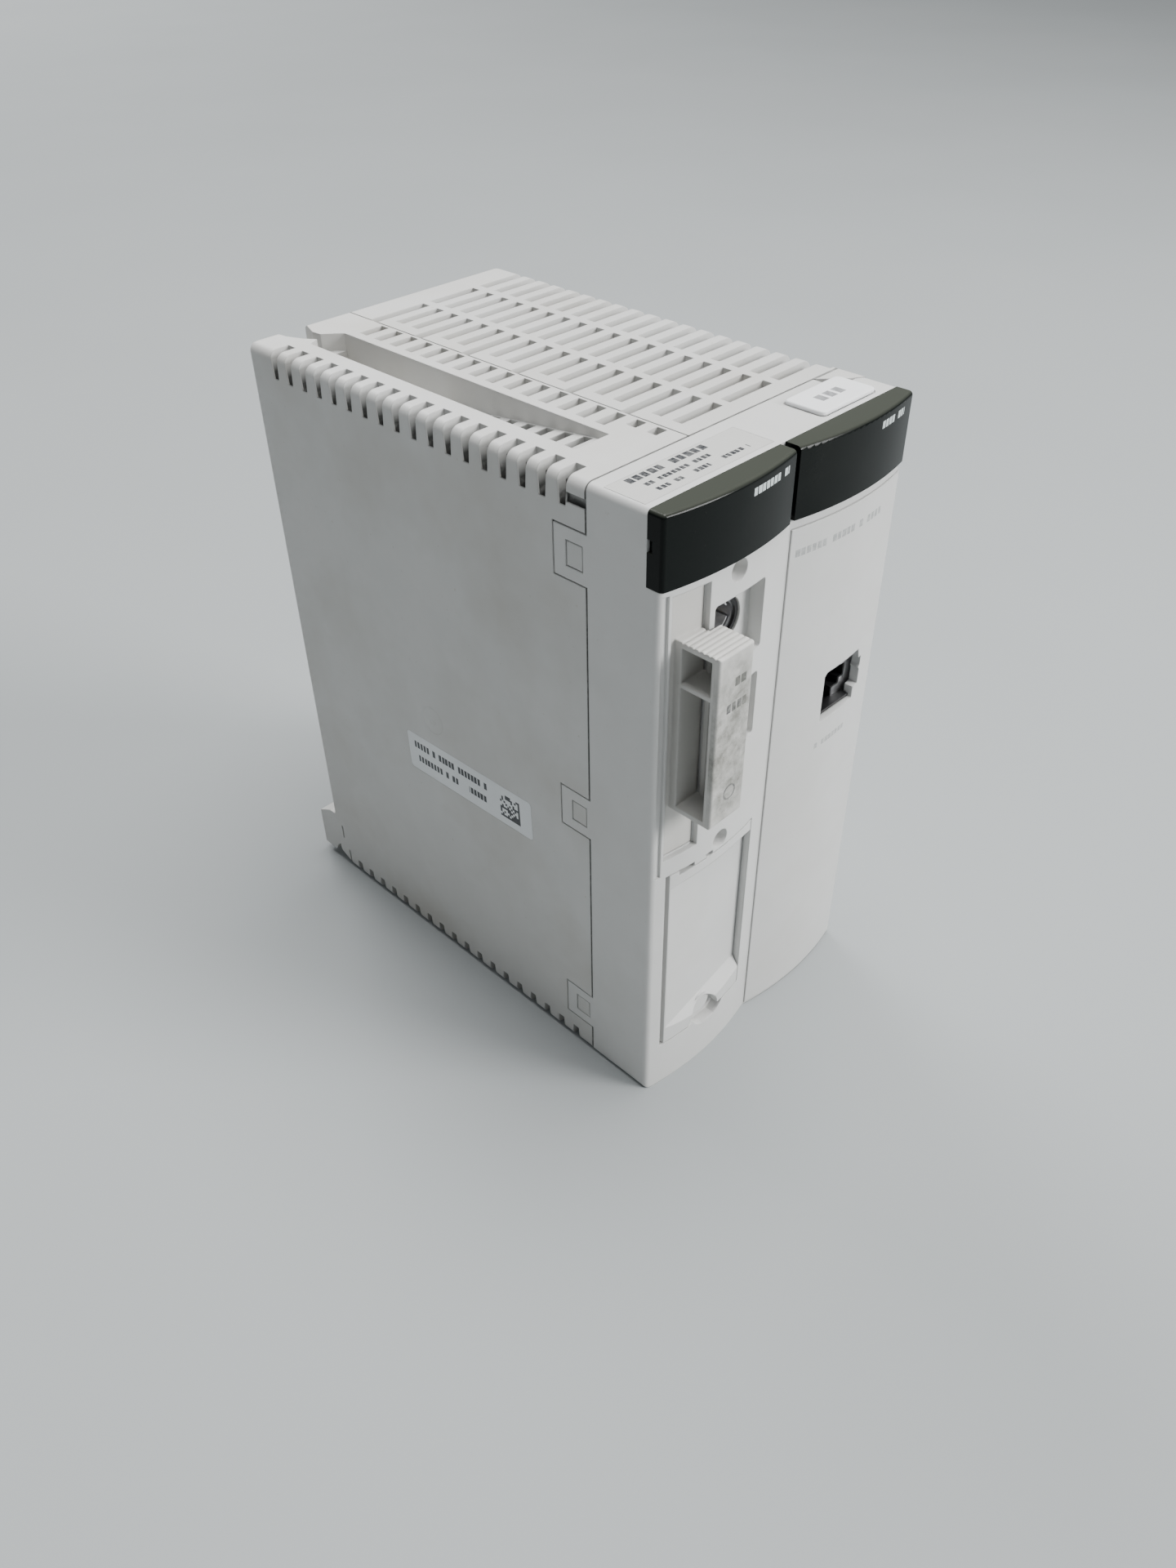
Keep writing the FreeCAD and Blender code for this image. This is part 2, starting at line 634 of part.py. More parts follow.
def front_openings():
    cuts = []
    terminal_z = case_height - terminal_drop
    auxiliary_z = case_height - auxiliary_drop
    cuts.append(window_cut(terminal_z, terminal_floor))
    cuts.append(window_cut(auxiliary_z, auxiliary_floor))
    for z in (terminal_z, auxiliary_z):
        cuts.append(rod_y(front_y - overlap, front_inner_y + overlap, port_x, z, socket_r + 0.2))
    # card slot behind the carrier's face plate
    cuts.append(sunk(pocket_left, pocket_right, pocket_low_z, pocket_high_z, card_pocket_depth))
    cuts.append(block(pocket_left + 0.3, pocket_right - 0.3, front_y - front_bulge, front_inner_y + overlap,
                      pocket_low_z + 0.3, pocket_high_z - 0.3))
    cuts.append(sunk(-36.0, -34.7, pocket_low_z - 4.0, pocket_high_z + 0.5, 0.5))
    cuts += button_cut(case_height - reset_drop, False)
    cuts += button_cut(case_height - release_drop, True)
    # seat of the slot cover, its hinge pins and the card bay behind it
    left = door_left - door_side_gap
    y_out = front_y - front_bulge - overlap
    y_seat = door_back_y + door_seat_gap
    cuts.append(block(left, door_right + door_gap, y_out, y_seat, door_bottom - door_gap,
                      door_top + door_gap))
    cuts.append(block(left, door_left + ear_width + ear_room, y_out, y_seat, door_top,
                      door_top + ear_height + door_gap))
    for z0, z1 in hinge_pin_spans():
        cuts.append(rod_z(z0, z1, hinge_x, hinge_y, hinge_pin_r + pin_gap))
    cuts.append(block(latch_left, latch_left + latch_width, y_out, front_y + latch_depth, door_top,
                      door_top + latch_height))
    cuts.append(block(door_left + 2.6, door_right - 4.0, door_back_y - overlap, front_inner_y + overlap,
                      door_bottom + 3.0, door_top - 3.0))
    # finger notch under the cover's lower edge
    notch = rod_y(front_y - front_bulge - overlap, front_y + 0.4, notch_x, door_bottom + 3.0, notch_r)
    cuts.append(notch.common(block(door_left, door_right, y_out, front_y + overlap, door_bottom - 2.8,
                                   door_bottom + 3.0 + notch_r)))
    # network panel seat and the way through to its jack
    cuts.append(sunk(panel_margin, half_width - panel_margin, 0.6, case_height - panel_top,
                     panel_thickness - panel_proud))
    jack_x0, jack_x1, jack_z0, jack_z1 = jack_box()
    cuts.append(block(jack_x0 - fit_gap, jack_x1 + fit_gap, front_y - front_bulge, front_inner_y + overlap,
                      jack_z0 - fit_gap, jack_z1 + fit_gap))
    return cuts


def hinge_pin_spans():
    """Lower and upper ends of the two hinge pins."""
    lower = (door_bottom - door_gap - hinge_pin_hold, door_bottom + hinge_pin_grip)
    ear_top = door_top + ear_height
    upper = (ear_top - hinge_pin_grip, ear_top + door_gap + hinge_pin_hold)
    return lower, upper


# ---- what sits in the front ----
def network_panel():
    x0 = panel_margin + 0.1
    x1 = half_width - panel_margin - 0.1
    z0 = 0.7
    z1 = case_height - panel_top - 0.1
    y_in = front_inner_y + overlap
    body = front_profile(panel_proud, x0, x1, y_in, z0, z1)
    body = body.cut(front_profile(panel_proud - panel_thickness + 0.05, -half_width, half_width,
                                  y_in + overlap, z0 - overlap, z1 + overlap))
    low = case_height - jack_low_drop
    high = low + jack_height
    right = jack_left + jack_width
    tab = right + jack_notch
    outline = [(jack_left, low), (right, low), (right, low + 2.8), (tab, low + 2.8), (tab, low + 6.6),
               (tab - 0.5, low + 7.2), (tab, low + 7.8), (tab, low + 10.2), (right + 0.9, low + 10.2),
               (right + 0.2, high), (jack_left + 0.8, high), (jack_left, high - 0.9)]
    return body.cut(prism_xz(outline, front_y - 9.0, y_in))


def display_window(x0, x1):
    outer = front_profile(display_proud, x0, x1, display_back_y, display_low_z, case_height)
    inner = front_profile(display_proud - display_wall, x0 + display_wall, x1 - display_wall,
                          display_back_y, display_low_z + display_wall, case_height - display_wall)

    side_x = x0 if x0 < 0 else x1

    def shown_edge(box):
        on_top = box.ZMin > case_height - 0.01
        on_side = abs(box.XMin - side_x) < 0.01 and abs(box.XMax - side_x) < 0.01
        front = box.YMax < front_y + 0.5
        brow = on_top and (on_side or (front and box.XLength > 5))
        corner = on_side and front and box.ZLength > 5
        return brow or corner

    outer = round_edges(outer, display_round, shown_edge)
    body = outer.cut(inner)
    if x0 < 0:
        low, high, length, depth = display_notch
        body = body.cut(block(x0 - overlap, x0 + depth, display_back_y, display_back_y - length,
                              case_height - low, case_height - high))
    return body


def indicator_board(x0, x1):
    y = front_inner_y + 3.5
    board = block(x0, x1, y, y + board_thickness, display_low_z + 0.6, case_height - wall - 2.6)
    lights = []
    half = indicator_width / 2
    rise = indicator_height / 2
    for i in range(indicator_count):
        x = x0 + (x1 - x0) * (i + 0.5) / indicator_count
        for row in indicator_rows:
            z = display_low_z + row
            lights.append(block(x - half, x + half, y - indicator_width, y, z - rise, z + rise))
    return board, lights


def round_socket(centre_z, floor):
    y0 = front_y + floor + 0.4
    y1 = front_inner_y + socket_depth
    nose = rod_y(y0, front_inner_y + 1.0, port_x, centre_z, socket_r)
    half = socket_body
    body = block(processor_board_x + chip_gap, port_x + half, front_inner_y + 0.1, y1,
                 centre_z - half, centre_z + half)
    floor_y = y1 - socket_floor
    shell = nose.fuse(body).removeSplitter()
    shell = shell.cut(rod_y(y0 - overlap, floor_y, port_x, centre_z, socket_bore_r))
    pin_y = floor_y - socket_pin_length
    pins = []
    for i in range(socket_pins - 1):
        angle = math.radians(-120 + 240 * i / (socket_pins - 2))
        x = port_x + socket_pin_circle * math.sin(angle)
        z = centre_z + socket_pin_circle * math.cos(angle)
        pins.append(rod_y(pin_y, floor_y, x, z, socket_pin_r))
    pins.append(rod_y(pin_y, floor_y, port_x, centre_z - 1.0, socket_pin_r))
    collar = rod_y(y0 + 0.6, floor_y, port_x, centre_z, socket_bore_r)
    collar = collar.cut(rod_y(y0 - overlap, y1, port_x, centre_z, socket_bore_r - socket_collar))
    return shell, pins, collar


def jack_box():
    """Sides of the jack's shield: left, right, bottom and top."""
    low = case_height - jack_low_drop
    left = network_board_x + board_thickness + 0.05
    right = jack_left + jack_width + jack_notch + jack_wall
    return left, right, low - 0.8, low + jack_height + 0.8


def network_jack():
    x0, x1, z0, z1 = jack_box()
    y0 = front_y + 1.2
    y1 = y0 + jack_depth
    can = block(x0, x1, y0, y1, z0, z1)
    body = block(x0 + shield, x1 - shield, y0 + shield, y1 - shield, z0 + shield, z1 - shield)
    mouth_x0 = jack_left + 0.6
    mouth_x1 = mouth_x0 + 8.3
    mid = (z0 + z1) / 2
    cavity = fuse_all([
        block(mouth_x0, mouth_x1, y0 - overlap, y1 - 3.0, mid - 5.9, mid + 5.9),
        block(mouth_x1 - 0.1, mouth_x1 + 2.6, y0 - overlap, y1 - 6.0, mid - 3.2, mid + 3.2),
        block(mouth_x1 + 2.5, mouth_x1 + 4.2, y0 - overlap, y1 - 9.0, mid - 1.7, mid + 1.7)])
    housing = body.cut(cavity)
    can = can.cut([body, cavity])
    contacts = []
    for i in range(8):
        z = mid - 3.57 + 1.02 * i
        contacts.append(prism([Vector(mouth_x0, y1 - 3.0, z - 0.17), Vector(mouth_x0, y1 - 3.6, z - 0.17),
                               Vector(mouth_x0 + 2.9, y0 + 5.4, z - 0.17),
                               Vector(mouth_x0 + 3.3, y0 + 5.4, z - 0.17),
                               Vector(mouth_x0 + 0.6, y1 - 3.0, z - 0.17)], Vector(0, 0, 0.34)))
    return housing, can, contacts


def button(z, travel):
    face_y = front_y + 0.4
    stem_end = front_inner_y + 5.0
    cap = rod_y(face_y, stem_end, button_x, z, button_r)
    flange = rod_y(front_inner_y + 0.1, front_inner_y + 1.1, button_x, z, button_r + 0.9)
    switch_y0 = stem_end + travel + 0.2
    switch = block(processor_board_x + chip_gap, button_x + 3.0, switch_y0, switch_y0 + 4.0,
                   z - 3.0, z + 3.0)
    spring = rod_y(front_inner_y + 1.1, switch_y0, button_x, z, button_r + 0.8).cut(
        rod_y(front_inner_y, switch_y0 + 1.0, button_x, z, button_r + 0.4))
    return cap.fuse(flange).removeSplitter(), switch, spring


# ---- memory card ----
def memory_card():
    z0 = pocket_mid_z - card_height / 2
    y0 = card_front_y
    body = block(card_x - card_thickness / 2, card_x + card_thickness / 2, y0, y0 + card_length, z0,
                 z0 + card_height)
    side = card_step_width / 2
    step = card_step_height
    rails = []
    for z in (z0, z0 + card_height):
        for sign in (-1, 1):
            x0 = card_x + sign * side
            x1 = card_x + sign * (card_thickness / 2 + overlap)
            rails.append(block(x0, x1, y0 + 0.5, y0 + card_length + overlap, z - step, z + step))
    body = body.cut(rails)
    sockets = block(card_x - 1.2, card_x + 1.2, y0 + card_length - 5.0, y0 + card_length + overlap,
                    z0 + 5.0, z0 + card_height - 5.0)
    return body.cut(sockets)


def card_handle():
    top = case_height - grip_high
    low = case_height - grip_low
    plate_gap = 0.25
    back = front_inner_y - 1.05
    plate = front_profile(-card_pocket_depth, pocket_left + plate_gap, pocket_right - plate_gap, back,
                          pocket_low_z + plate_gap, pocket_high_z - plate_gap)
    slot = block(pocket_left + 0.55, pocket_right - 0.55, front_y - 9.0, front_inner_y + 9.0,
                 pocket_low_z + 0.55, pocket_high_z - 0.55)
    rim = block(pocket_left, pocket_right, front_y - 9.0, front_y + card_pocket_depth + 0.2,
                pocket_low_z, pocket_high_z)
    plate = plate.common(slot.fuse(rim.common(front_profile(-card_pocket_depth, -half_width, half_width,
                                                            front_y + card_pocket_depth + 0.2,
                                                            pocket_low_z, pocket_high_z))))
    plate = plate.cut(front_under_plate())
    grip_front = front_y - grip_reach
    grip_back = front_y + card_pocket_depth + 0.1
    outer = block(grip_left, grip_right, grip_front, grip_back, low, top)
    outer = round_edges(outer, 0.5, lambda b: b.YMax < grip_front + 0.01 or (
        b.YLength > 5 and b.XMin > grip_right - 0.01))
    # the part of the grip that overhangs the cover stops short of it
    over = block(pocket_right - 0.55, grip_right + overlap, front_y - front_bulge - grip_gap,
                 grip_back + overlap, low - overlap, top + overlap)
    rib_z = top - grip_rib_drop
    upper = block(grip_left - overlap, grip_right - grip_wall, grip_front + grip_plate,
                  front_y - front_bulge + 0.6, rib_z + 0.5, top - grip_wall)
    lower = block(grip_left - overlap, grip_right - grip_wall, grip_front + grip_plate,
                  front_y - front_bulge + 0.6, low + grip_wall, rib_z - 0.5)
    grooves = []
    count = int((grip_reach - 1.2) / grip_ridge_pitch)
    for i in range(count):
        y = grip_front + 1.1 + grip_ridge_pitch * i
        grooves.append(prism_yz([(y - 0.35, top + 0.01), (y + 0.35, top + 0.01), (y, top - grip_ridge_depth)],
                                grip_left - overlap, grip_right + overlap))
    grip = outer.cut([over, upper, lower] + grooves)
    over_back = front_y - front_bulge - grip_gap
    back_plate = block(pocket_right - overlap, grip_right - grip_wall / 2, over_back - grip_wall, over_back,
                       low + grip_wall / 2, top - grip_wall / 2)
    return plate.fuse([grip, back_plate]).removeSplitter()


def front_under_plate():
    """Keeps the face plate off the floor of its pocket."""
    frame = block(pocket_left - overlap, pocket_right + overlap, front_y - 9.0, front_inner_y + 9.0,
                  pocket_low_z - overlap, pocket_high_z + overlap)
    inner = block(pocket_left + 0.55, pocket_right - 0.55, front_y - 9.0, front_inner_y + 9.0,
                  pocket_low_z + 0.55, pocket_high_z - 0.55)
    return frame.cut(inner)


def card_cage():
    z0 = pocket_mid_z - card_height / 2
    z1 = z0 + card_height
    y0 = front_inner_y + 0.1
    y1 = card_rear_y + header_tail - 0.3
    inside = card_thickness / 2 + run_gap
    outer = block(card_x - inside - cage_wall, card_x + inside + cage_wall, y0, y1,
                  z0 - run_gap - cage_shelf, z1 + run_gap + cage_shelf)
    inner = block(card_x - inside, card_x + inside, y0 - overlap, y1 + overlap, z0 - run_gap, z1 + run_gap)
    relief = block(card_x - 9.0, card_x + 9.0, y0 + 18.0, y1 - 12.0, z0 + 9.0, z1 - 9.0)
    return outer.cut([inner, relief])


def card_header():
    z0 = pocket_mid_z - card_height / 2
    z1 = z0 + card_height
    y_card = card_rear_y
    y1 = y_card + header_depth
    body = block(card_x - card_thickness / 2, card_x + card_thickness / 2, y_card + 0.3, y1, z0, z1)
    tail = block(card_x, processor_board_x - board_thickness - chip_gap, y_card + header_tail, y1,
                 z0 + header_end, z1 - header_end)
    pins = []
    first_z = z0 + header_end - 1.0
    pin_pitch = (z1 - z0 - 2 * (header_end - 1.0)) / (header_pin_rows - 1)
    for i in range(header_pin_rows):
        for x in (card_x - 0.6, card_x + 0.6):
            pins.append(rod_y(y_card - 3.5, y_card + 0.3, x, first_z + pin_pitch * i, header_pin_r))
    return body.fuse(tail).removeSplitter(), pins


# ---- lower card bay ----
def slot_cover():
    thick_back = door_back_y
    body = front_profile(0.0, door_left, door_right, thick_back, door_bottom, door_top)
    wedge = prism_xy([(door_left + 0.5, front_y - front_bulge - 2.0), (door_right + overlap, front_y - 4.0),
                      (door_right + overlap, front_y - bulge(door_right) + door_wedge),
                      (door_left + 0.5, front_y - bulge(door_left))], door_bottom, door_top)
    edge_y = front_y - bulge(door_right)
    dip_y = edge_y + door_wedge
    dip_high = door_top - dip_top
    outline = [(front_y - 6.0, door_bottom), (front_y - 6.0, dip_high), (edge_y - 0.4, dip_high),
               (dip_y, dip_high - dip_top_slope), (dip_y, door_bottom + dip_ramp),
               (edge_y - 1.4, door_bottom + dip_bottom)]
    ends = prism_yz(outline, door_left - overlap, door_right + overlap)
    body = body.cut(wedge.common(ends))
    # scooped finger notch
    body = body.cut(rod_y(front_y - 9.0, front_y + 0.2, nail_x, door_bottom, nail_scoop_r))
    body = body.fuse(rod_y(front_y - 0.9, front_y + 1.0, nail_x, door_bottom + nail_r + 0.5, nail_r))
    ear = front_profile(0.0, door_left, door_left + ear_width, thick_back, door_top - overlap,
                        door_top + ear_height)
    body = body.fuse(ear).removeSplitter()

    def rear_left(box):
        return box.XMax < door_left + 0.01 and box.YMin > thick_back - 0.01 and box.ZLength > 1.0

    body = round_edges(body, door_back_round, rear_left)
    return body.cut([rod_z(z0, z1, hinge_x, hinge_y, hinge_pin_r + pin_gap) for z0, z1 in hinge_pin_spans()])


def cover_pins():
    return [rod_z(z0, z1, hinge_x, hinge_y, hinge_pin_r) for z0, z1 in hinge_pin_spans()]


def lower_bay():
    z0 = door_bottom + bay_margin
    z1 = door_top - bay_margin
    x0 = door_left + 2.8
    x1 = processor_board_x - board_thickness - 0.3
    y0 = front_inner_y + 0.1
    y1 = y0 + card_length - 20.0
    outer = block(x0, x1, y0, y1, z0, z1)
    inner = block(x0 + 0.8, x1 - 0.8, y0 - overlap, y1 + overlap, z0 + 1.2, z1 - 1.2)
    relief = block(x0 - overlap, x1 + overlap, y0 + 16.0, y1 - 8.0, z0 + 8.0, z1 - 8.0)
    cage = outer.cut([inner, relief])
    header = block(x0 + 1.0, x1 - 1.0, y1 - 5.0, y1 + 1.0, z0 + 1.4, z1 - 1.4)
    tail = block(x0 + 2.0, x1 + 0.2, y1 + 1.0, y1 + 3.5, z0 + 1.4, z1 - 1.4)
    return cage, header.fuse(tail).removeSplitter()


# ---- boards ----
def board(x0, z0, z1, holes):
    body = block(x0, x0 + board_thickness, front_inner_y + 1.2, board_rear_y, z0, z1)
    return body.cut([rod_x(x0 - overlap, x0 + board_thickness + overlap, y, z, 1.7) for y, z in holes])


def screw_places(z_low, z_high):
    rear = board_rear_y - board_screw_inset
    return [(rear, z_high), (rear, z_low + board_screw_inset), (lip_end_y + 5.0, z_low + board_screw_inset)]


def board_screw(x, direction, y, z, length):
    """Pan-head screw whose head bears on x and whose shank runs in direction."""
    head_end = x - direction * 1.8
    head = rod_x(x, head_end, y, z, board_screw_head_r)
    drive = block(x - direction * 1.0, head_end - direction * 0.1, y - 1.9, y + 1.9, z - 0.35, z + 0.35)
    shank = rod_x(x, x + direction * length, y, z, board_screw_shank_r)
    return head.cut(drive).fuse(shank).removeSplitter()


def spacer(x0, x1, y, z):
    hole = rod_x(x0 - overlap, x1 + overlap, y, z, board_screw_shank_r + pin_gap)
    return rod_x(x0, x1, y, z, spacer_r).cut(hole)


def chips(x, places):
    """Chips that stand on a board's face at x."""
    return [block(x, x + height, y - size_y / 2, y + size_y / 2, z - size_z / 2, z + size_z / 2)
            for y, z, size_y, size_z, height in places]


# ---- rear ----
def bus_board():
    z0 = case_height / 2 - bus_height / 2 - 4.0
    z1 = case_height / 2 + bus_height / 2 + 4.0
    y = -wall - bus_depth + 1.0
    return block(processor_board_x + 3.0, half_width - wall - 3.0, y - board_thickness, y, z0, z1)


def bus_connector():
    z_mid = case_height / 2
    y_in = -wall - bus_depth + 1.05
    body = block(bus_x - bus_width / 2, bus_x + bus_width / 2, y_in, -0.6, z_mid - bus_height / 2,
                 z_mid + bus_height / 2)
    hollow = block(bus_x - bus_width / 2 + 1.2, bus_x + bus_width / 2 - 1.2, y_in + 2.4, overlap,
                   z_mid - bus_height / 2 + 1.4, z_mid + bus_height / 2 - 1.4)
    contacts = []
    for row in range(bus_rows):
        for column in range(bus_columns):
            x = bus_x + bus_pitch * (column - (bus_columns - 1) / 2)
            z = z_mid + bus_pitch * (row - (bus_rows - 1) / 2)
            contacts.append(block(x - 0.3, x + 0.3, y_in + 2.4, y_in + 5.0, z - 0.3, z + 0.3))
    return body.cut(hollow), contacts


def mounting_screw():
    y_head = clip_rear_y() - clip_thickness - 0.1
    thread_y = screw_reach - screw_thread
    head = rod_y(y_head - screw_head_length, y_head, screw_x, screw_z, screw_head_r)
    past_head = screw_head_r + overlap
    y_slot = y_head - screw_head_length
    slot = block(screw_x - past_head, screw_x + past_head, y_slot - overlap, y_slot + screw_slot_depth,
                 screw_z - screw_slot_width / 2, screw_z + screw_slot_width / 2)
    neck = rod_y(y_head, thread_y, screw_x, screw_z, screw_neck_r)
    thread = rod_y(thread_y, screw_reach, screw_x, screw_z, screw_thread_r)
    tip = Part.makeCone(screw_thread_r, screw_thread_r - screw_tip, screw_tip,
                        Vector(screw_x, screw_reach, screw_z), Vector(0, 1, 0))
    return head.cut(slot).fuse([neck, thread, tip]).removeSplitter()


def clip_rear_y():
    return -wall - 1.0 - 0.1


def captive_clip():
    y1 = clip_rear_y()
    y0 = y1 - clip_thickness
    hole = rod_y(y0 - overlap, y1 + overlap, screw_x, screw_z, screw_neck_r + pin_gap)
    return rod_y(y0, y1, screw_x, screw_z, clip_r).cut(hole)


# ---- labels ----
def side_label_solid(grow):
    y0, y1, z0, z1 = side_label_box
    body = block(-half_width - (overlap if grow else 0), -half_width + label_thickness + grow / 5,
                 y0 - grow, y1 + grow, z0 - grow, z1 + grow)
    body = round_edges(body, label_corner, lambda b: b.YLength < 0.01 and b.ZLength < 0.01)
    body.rotate(Vector(-half_width, (y0 + y1) / 2, (z0 + z1) / 2), Vector(1, 0, 0), side_label_tilt)
    return body


def type_label_solid(grow):
    y0 = front_y + label_margin_front
    y1 = seam_y - label_margin_rear
    return block(-half_width + 1.2 - grow, -1.2 + grow, y0 - grow, y1 + grow,
                 case_height - label_thickness - grow / 5, case_height + (overlap if grow else 0))


def marker_solid(grow, base):
    y0 = front_y + label_margin_front
    y1 = seam_y - label_margin_rear
    body = block(marker_left - grow, marker_right + grow, y0 - grow, y1 + grow, case_height + base,
                 case_height + (overlap if grow else marker_thickness))
    body = round_edges(body, marker_corner, lambda b: b.XLength < 0.01 and b.YLength < 0.01)
    if grow:
        return body
    return round_edges(body, marker_round, lambda b: b.ZMin > case_height + marker_thickness - 0.01)


# ---- everything ----
def main():
    os.makedirs("parts", exist_ok=True)
    save("rear_casing_left", casing_left())
    save("rear_casing_right", casing_right())
    save("front_cover", front_cover())
    save("network_panel", network_panel())
    for side, x0, x1 in (("left", -half_width, -1.3), ("right", 0.3, half_width)):
        save("display_window_" + side, display_window(x0, x1))
        plate, lights = indicator_board(x0 + wall + 2.0, x1 - wall - 2.0)
        save("indicator_board_" + side, plate)
        save("indicator_lights_" + side, lights)
    for name, drop, floor in (("terminal", terminal_drop, terminal_floor),
                              ("auxiliary", auxiliary_drop, auxiliary_floor)):
        shell, pins, collar = round_socket(case_height - drop, floor)
        save(name + "_socket", shell)
        save(name + "_socket_pins", pins)
        save(name + "_socket_shield", collar)
    housing, can, contacts = network_jack()
    save("network_jack", housing)
    save("network_jack_shield", can)
    save("network_jack_contacts", contacts)
    for name, drop, travel in (("reset", reset_drop, reset_travel),
                               ("release", release_drop, release_travel)):
        cap, switch, spring = button(case_height - drop, travel)
        save(name + "_button", cap)
        save(name + "_switch", switch)
        save(name + "_spring", spring)
    save("memory_card", memory_card())
    save("card_handle", card_handle())
    save("card_cage", card_cage())
    header, pins = card_header()
    save("card_header", header)
    save("card_header_pins", pins)
    save("slot_cover", slot_cover())
    save("cover_hinge_pins", cover_pins())
    cage, header = lower_bay()
    save("lower_card_cage", cage)
    save("lower_card_header", header)

    left_high = case_height - wall - groove_rear_depth - trough_wall - 2.0
    left_screws = screw_places(board_low, between_cards_z)
    solder_x = processor_board_x - board_thickness
    save("processor_board", board(solder_x, board_low, left_high, left_screws))
    save("processor_chips", chips(processor_board_x + chip_gap, processor_chip_list))
    right_high = display_low_z - 2.0
    right_screws = screw_places(board_low, right_high - board_screw_inset)
    board_face = network_board_x + board_thickness
    save("network_board", board(network_board_x, board_low, right_high, right_screws))
    save("network_chips", chips(board_face + chip_gap, network_chip_list))
    left_wall = -half_width + wall
    right_wall = half_width - wall
    spacers = [spacer(left_wall, solder_x, y, z) for y, z in left_screws]
    spacers += [spacer(board_face, right_wall, y, z) for y, z in right_screws]
    save("board_spacers", spacers)
    screws = [board_screw(processor_board_x, -1, y, z, board_screw_length) for y, z in left_screws]
    screws += [board_screw(network_board_x, 1, y, z, board_screw_length) for y, z in right_screws]
    save("board_screws", screws)
    save("bus_board", bus_board())
    connector, contacts = bus_connector()
    save("bus_connector", connector)
    save("bus_contacts", contacts)
    save("mounting_screw", mounting_screw())
    save("captive_clip", captive_clip())
    save("side_label", side_label_solid(0))
    save("type_label", type_label_solid(0))
    save("slot_marker", marker_solid(0, 0))
    print(len(written), "nodes, shift", shift_y)


main()
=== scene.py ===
import json
import math
import random

import bmesh
import bpy
from mathutils import Matrix, Vector


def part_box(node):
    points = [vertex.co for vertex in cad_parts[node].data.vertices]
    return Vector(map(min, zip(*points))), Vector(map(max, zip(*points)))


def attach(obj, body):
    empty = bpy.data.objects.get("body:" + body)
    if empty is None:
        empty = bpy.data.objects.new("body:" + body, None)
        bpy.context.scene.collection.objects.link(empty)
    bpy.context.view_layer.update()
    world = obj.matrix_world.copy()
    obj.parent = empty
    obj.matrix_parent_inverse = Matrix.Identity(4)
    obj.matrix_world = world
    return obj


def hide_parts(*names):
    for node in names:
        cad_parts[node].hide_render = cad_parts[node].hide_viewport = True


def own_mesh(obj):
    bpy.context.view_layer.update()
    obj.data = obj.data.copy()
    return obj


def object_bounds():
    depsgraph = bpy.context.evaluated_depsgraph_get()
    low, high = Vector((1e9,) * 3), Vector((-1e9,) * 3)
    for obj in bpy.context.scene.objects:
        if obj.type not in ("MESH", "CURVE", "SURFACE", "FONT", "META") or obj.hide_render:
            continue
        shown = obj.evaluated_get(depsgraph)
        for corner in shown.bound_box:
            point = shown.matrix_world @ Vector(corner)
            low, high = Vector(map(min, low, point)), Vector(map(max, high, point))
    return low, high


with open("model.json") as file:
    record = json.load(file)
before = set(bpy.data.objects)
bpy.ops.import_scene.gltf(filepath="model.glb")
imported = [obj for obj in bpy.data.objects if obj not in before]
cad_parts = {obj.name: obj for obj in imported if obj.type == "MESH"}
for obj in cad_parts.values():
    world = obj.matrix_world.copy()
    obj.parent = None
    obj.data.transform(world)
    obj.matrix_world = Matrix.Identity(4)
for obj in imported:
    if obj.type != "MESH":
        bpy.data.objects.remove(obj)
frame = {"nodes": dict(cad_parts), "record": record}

cadLow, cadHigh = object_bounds()
nodes = frame["nodes"]
mm = 0.001
print("frame loaded:", len(nodes), "nodes")


# places and sizes of the CAD nodes, in metres
def low(node):
    return Vector(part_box(node)[0])


def high(node):
    return Vector(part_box(node)[1])


# a node group with its sockets; a tuple is a colour and a number a value
def newGroup(name, inputs, outputs):
    group = bpy.data.node_groups.new(name, "ShaderNodeTree")
    for label, value in inputs.items():
        kind = "NodeSocketColor" if isinstance(value, tuple) else "NodeSocketFloat"
        socket = group.interface.new_socket(name=label, in_out="INPUT", socket_type=kind)
        socket.default_value = value
    for label, kind in outputs.items():
        group.interface.new_socket(name=label, in_out="OUTPUT", socket_type="NodeSocket" + kind)
    start = group.nodes.new("NodeGroupInput")
    end = group.nodes.new("NodeGroupOutput")
    return group, start, end


def addNode(tree, kind, values=None, **settings):
    node = tree.nodes.new("ShaderNode" + kind)
    for key, value in settings.items():
        setattr(node, key, value)
    for key, value in (values or {}).items():
        node.inputs[key].default_value = value
    return node


# one Math node; numbers go on its sockets and outputs are linked
def calc(tree, operation, *terms, clamp=False):
    node = addNode(tree, "Math", operation=operation, use_clamp=clamp)
    for index, term in enumerate(terms):
        if isinstance(term, (int, float)):
            node.inputs[index].default_value = term
        else:
            tree.links.new(term, node.inputs[index])
    return node.outputs[0]


def remap(tree, value, fromMin, fromMax, toMin=0.0, toMax=1.0):
    node = addNode(tree, "MapRange",
                   {"From Min": fromMin, "From Max": fromMax, "To Min": toMin, "To Max": toMax})
    tree.links.new(value, node.inputs["Value"])
    return node.outputs["Result"]


def noise(tree, vector, scale, detail=3.0, roughness=0.55):
    node = addNode(tree, "TexNoise", {"Detail": detail, "Roughness": roughness})
    tree.links.new(vector, node.inputs["Vector"])
    if isinstance(scale, (int, float)):
        node.inputs["Scale"].default_value = scale
    else:
        tree.links.new(scale, node.inputs["Scale"])
    return node.outputs["Fac"]


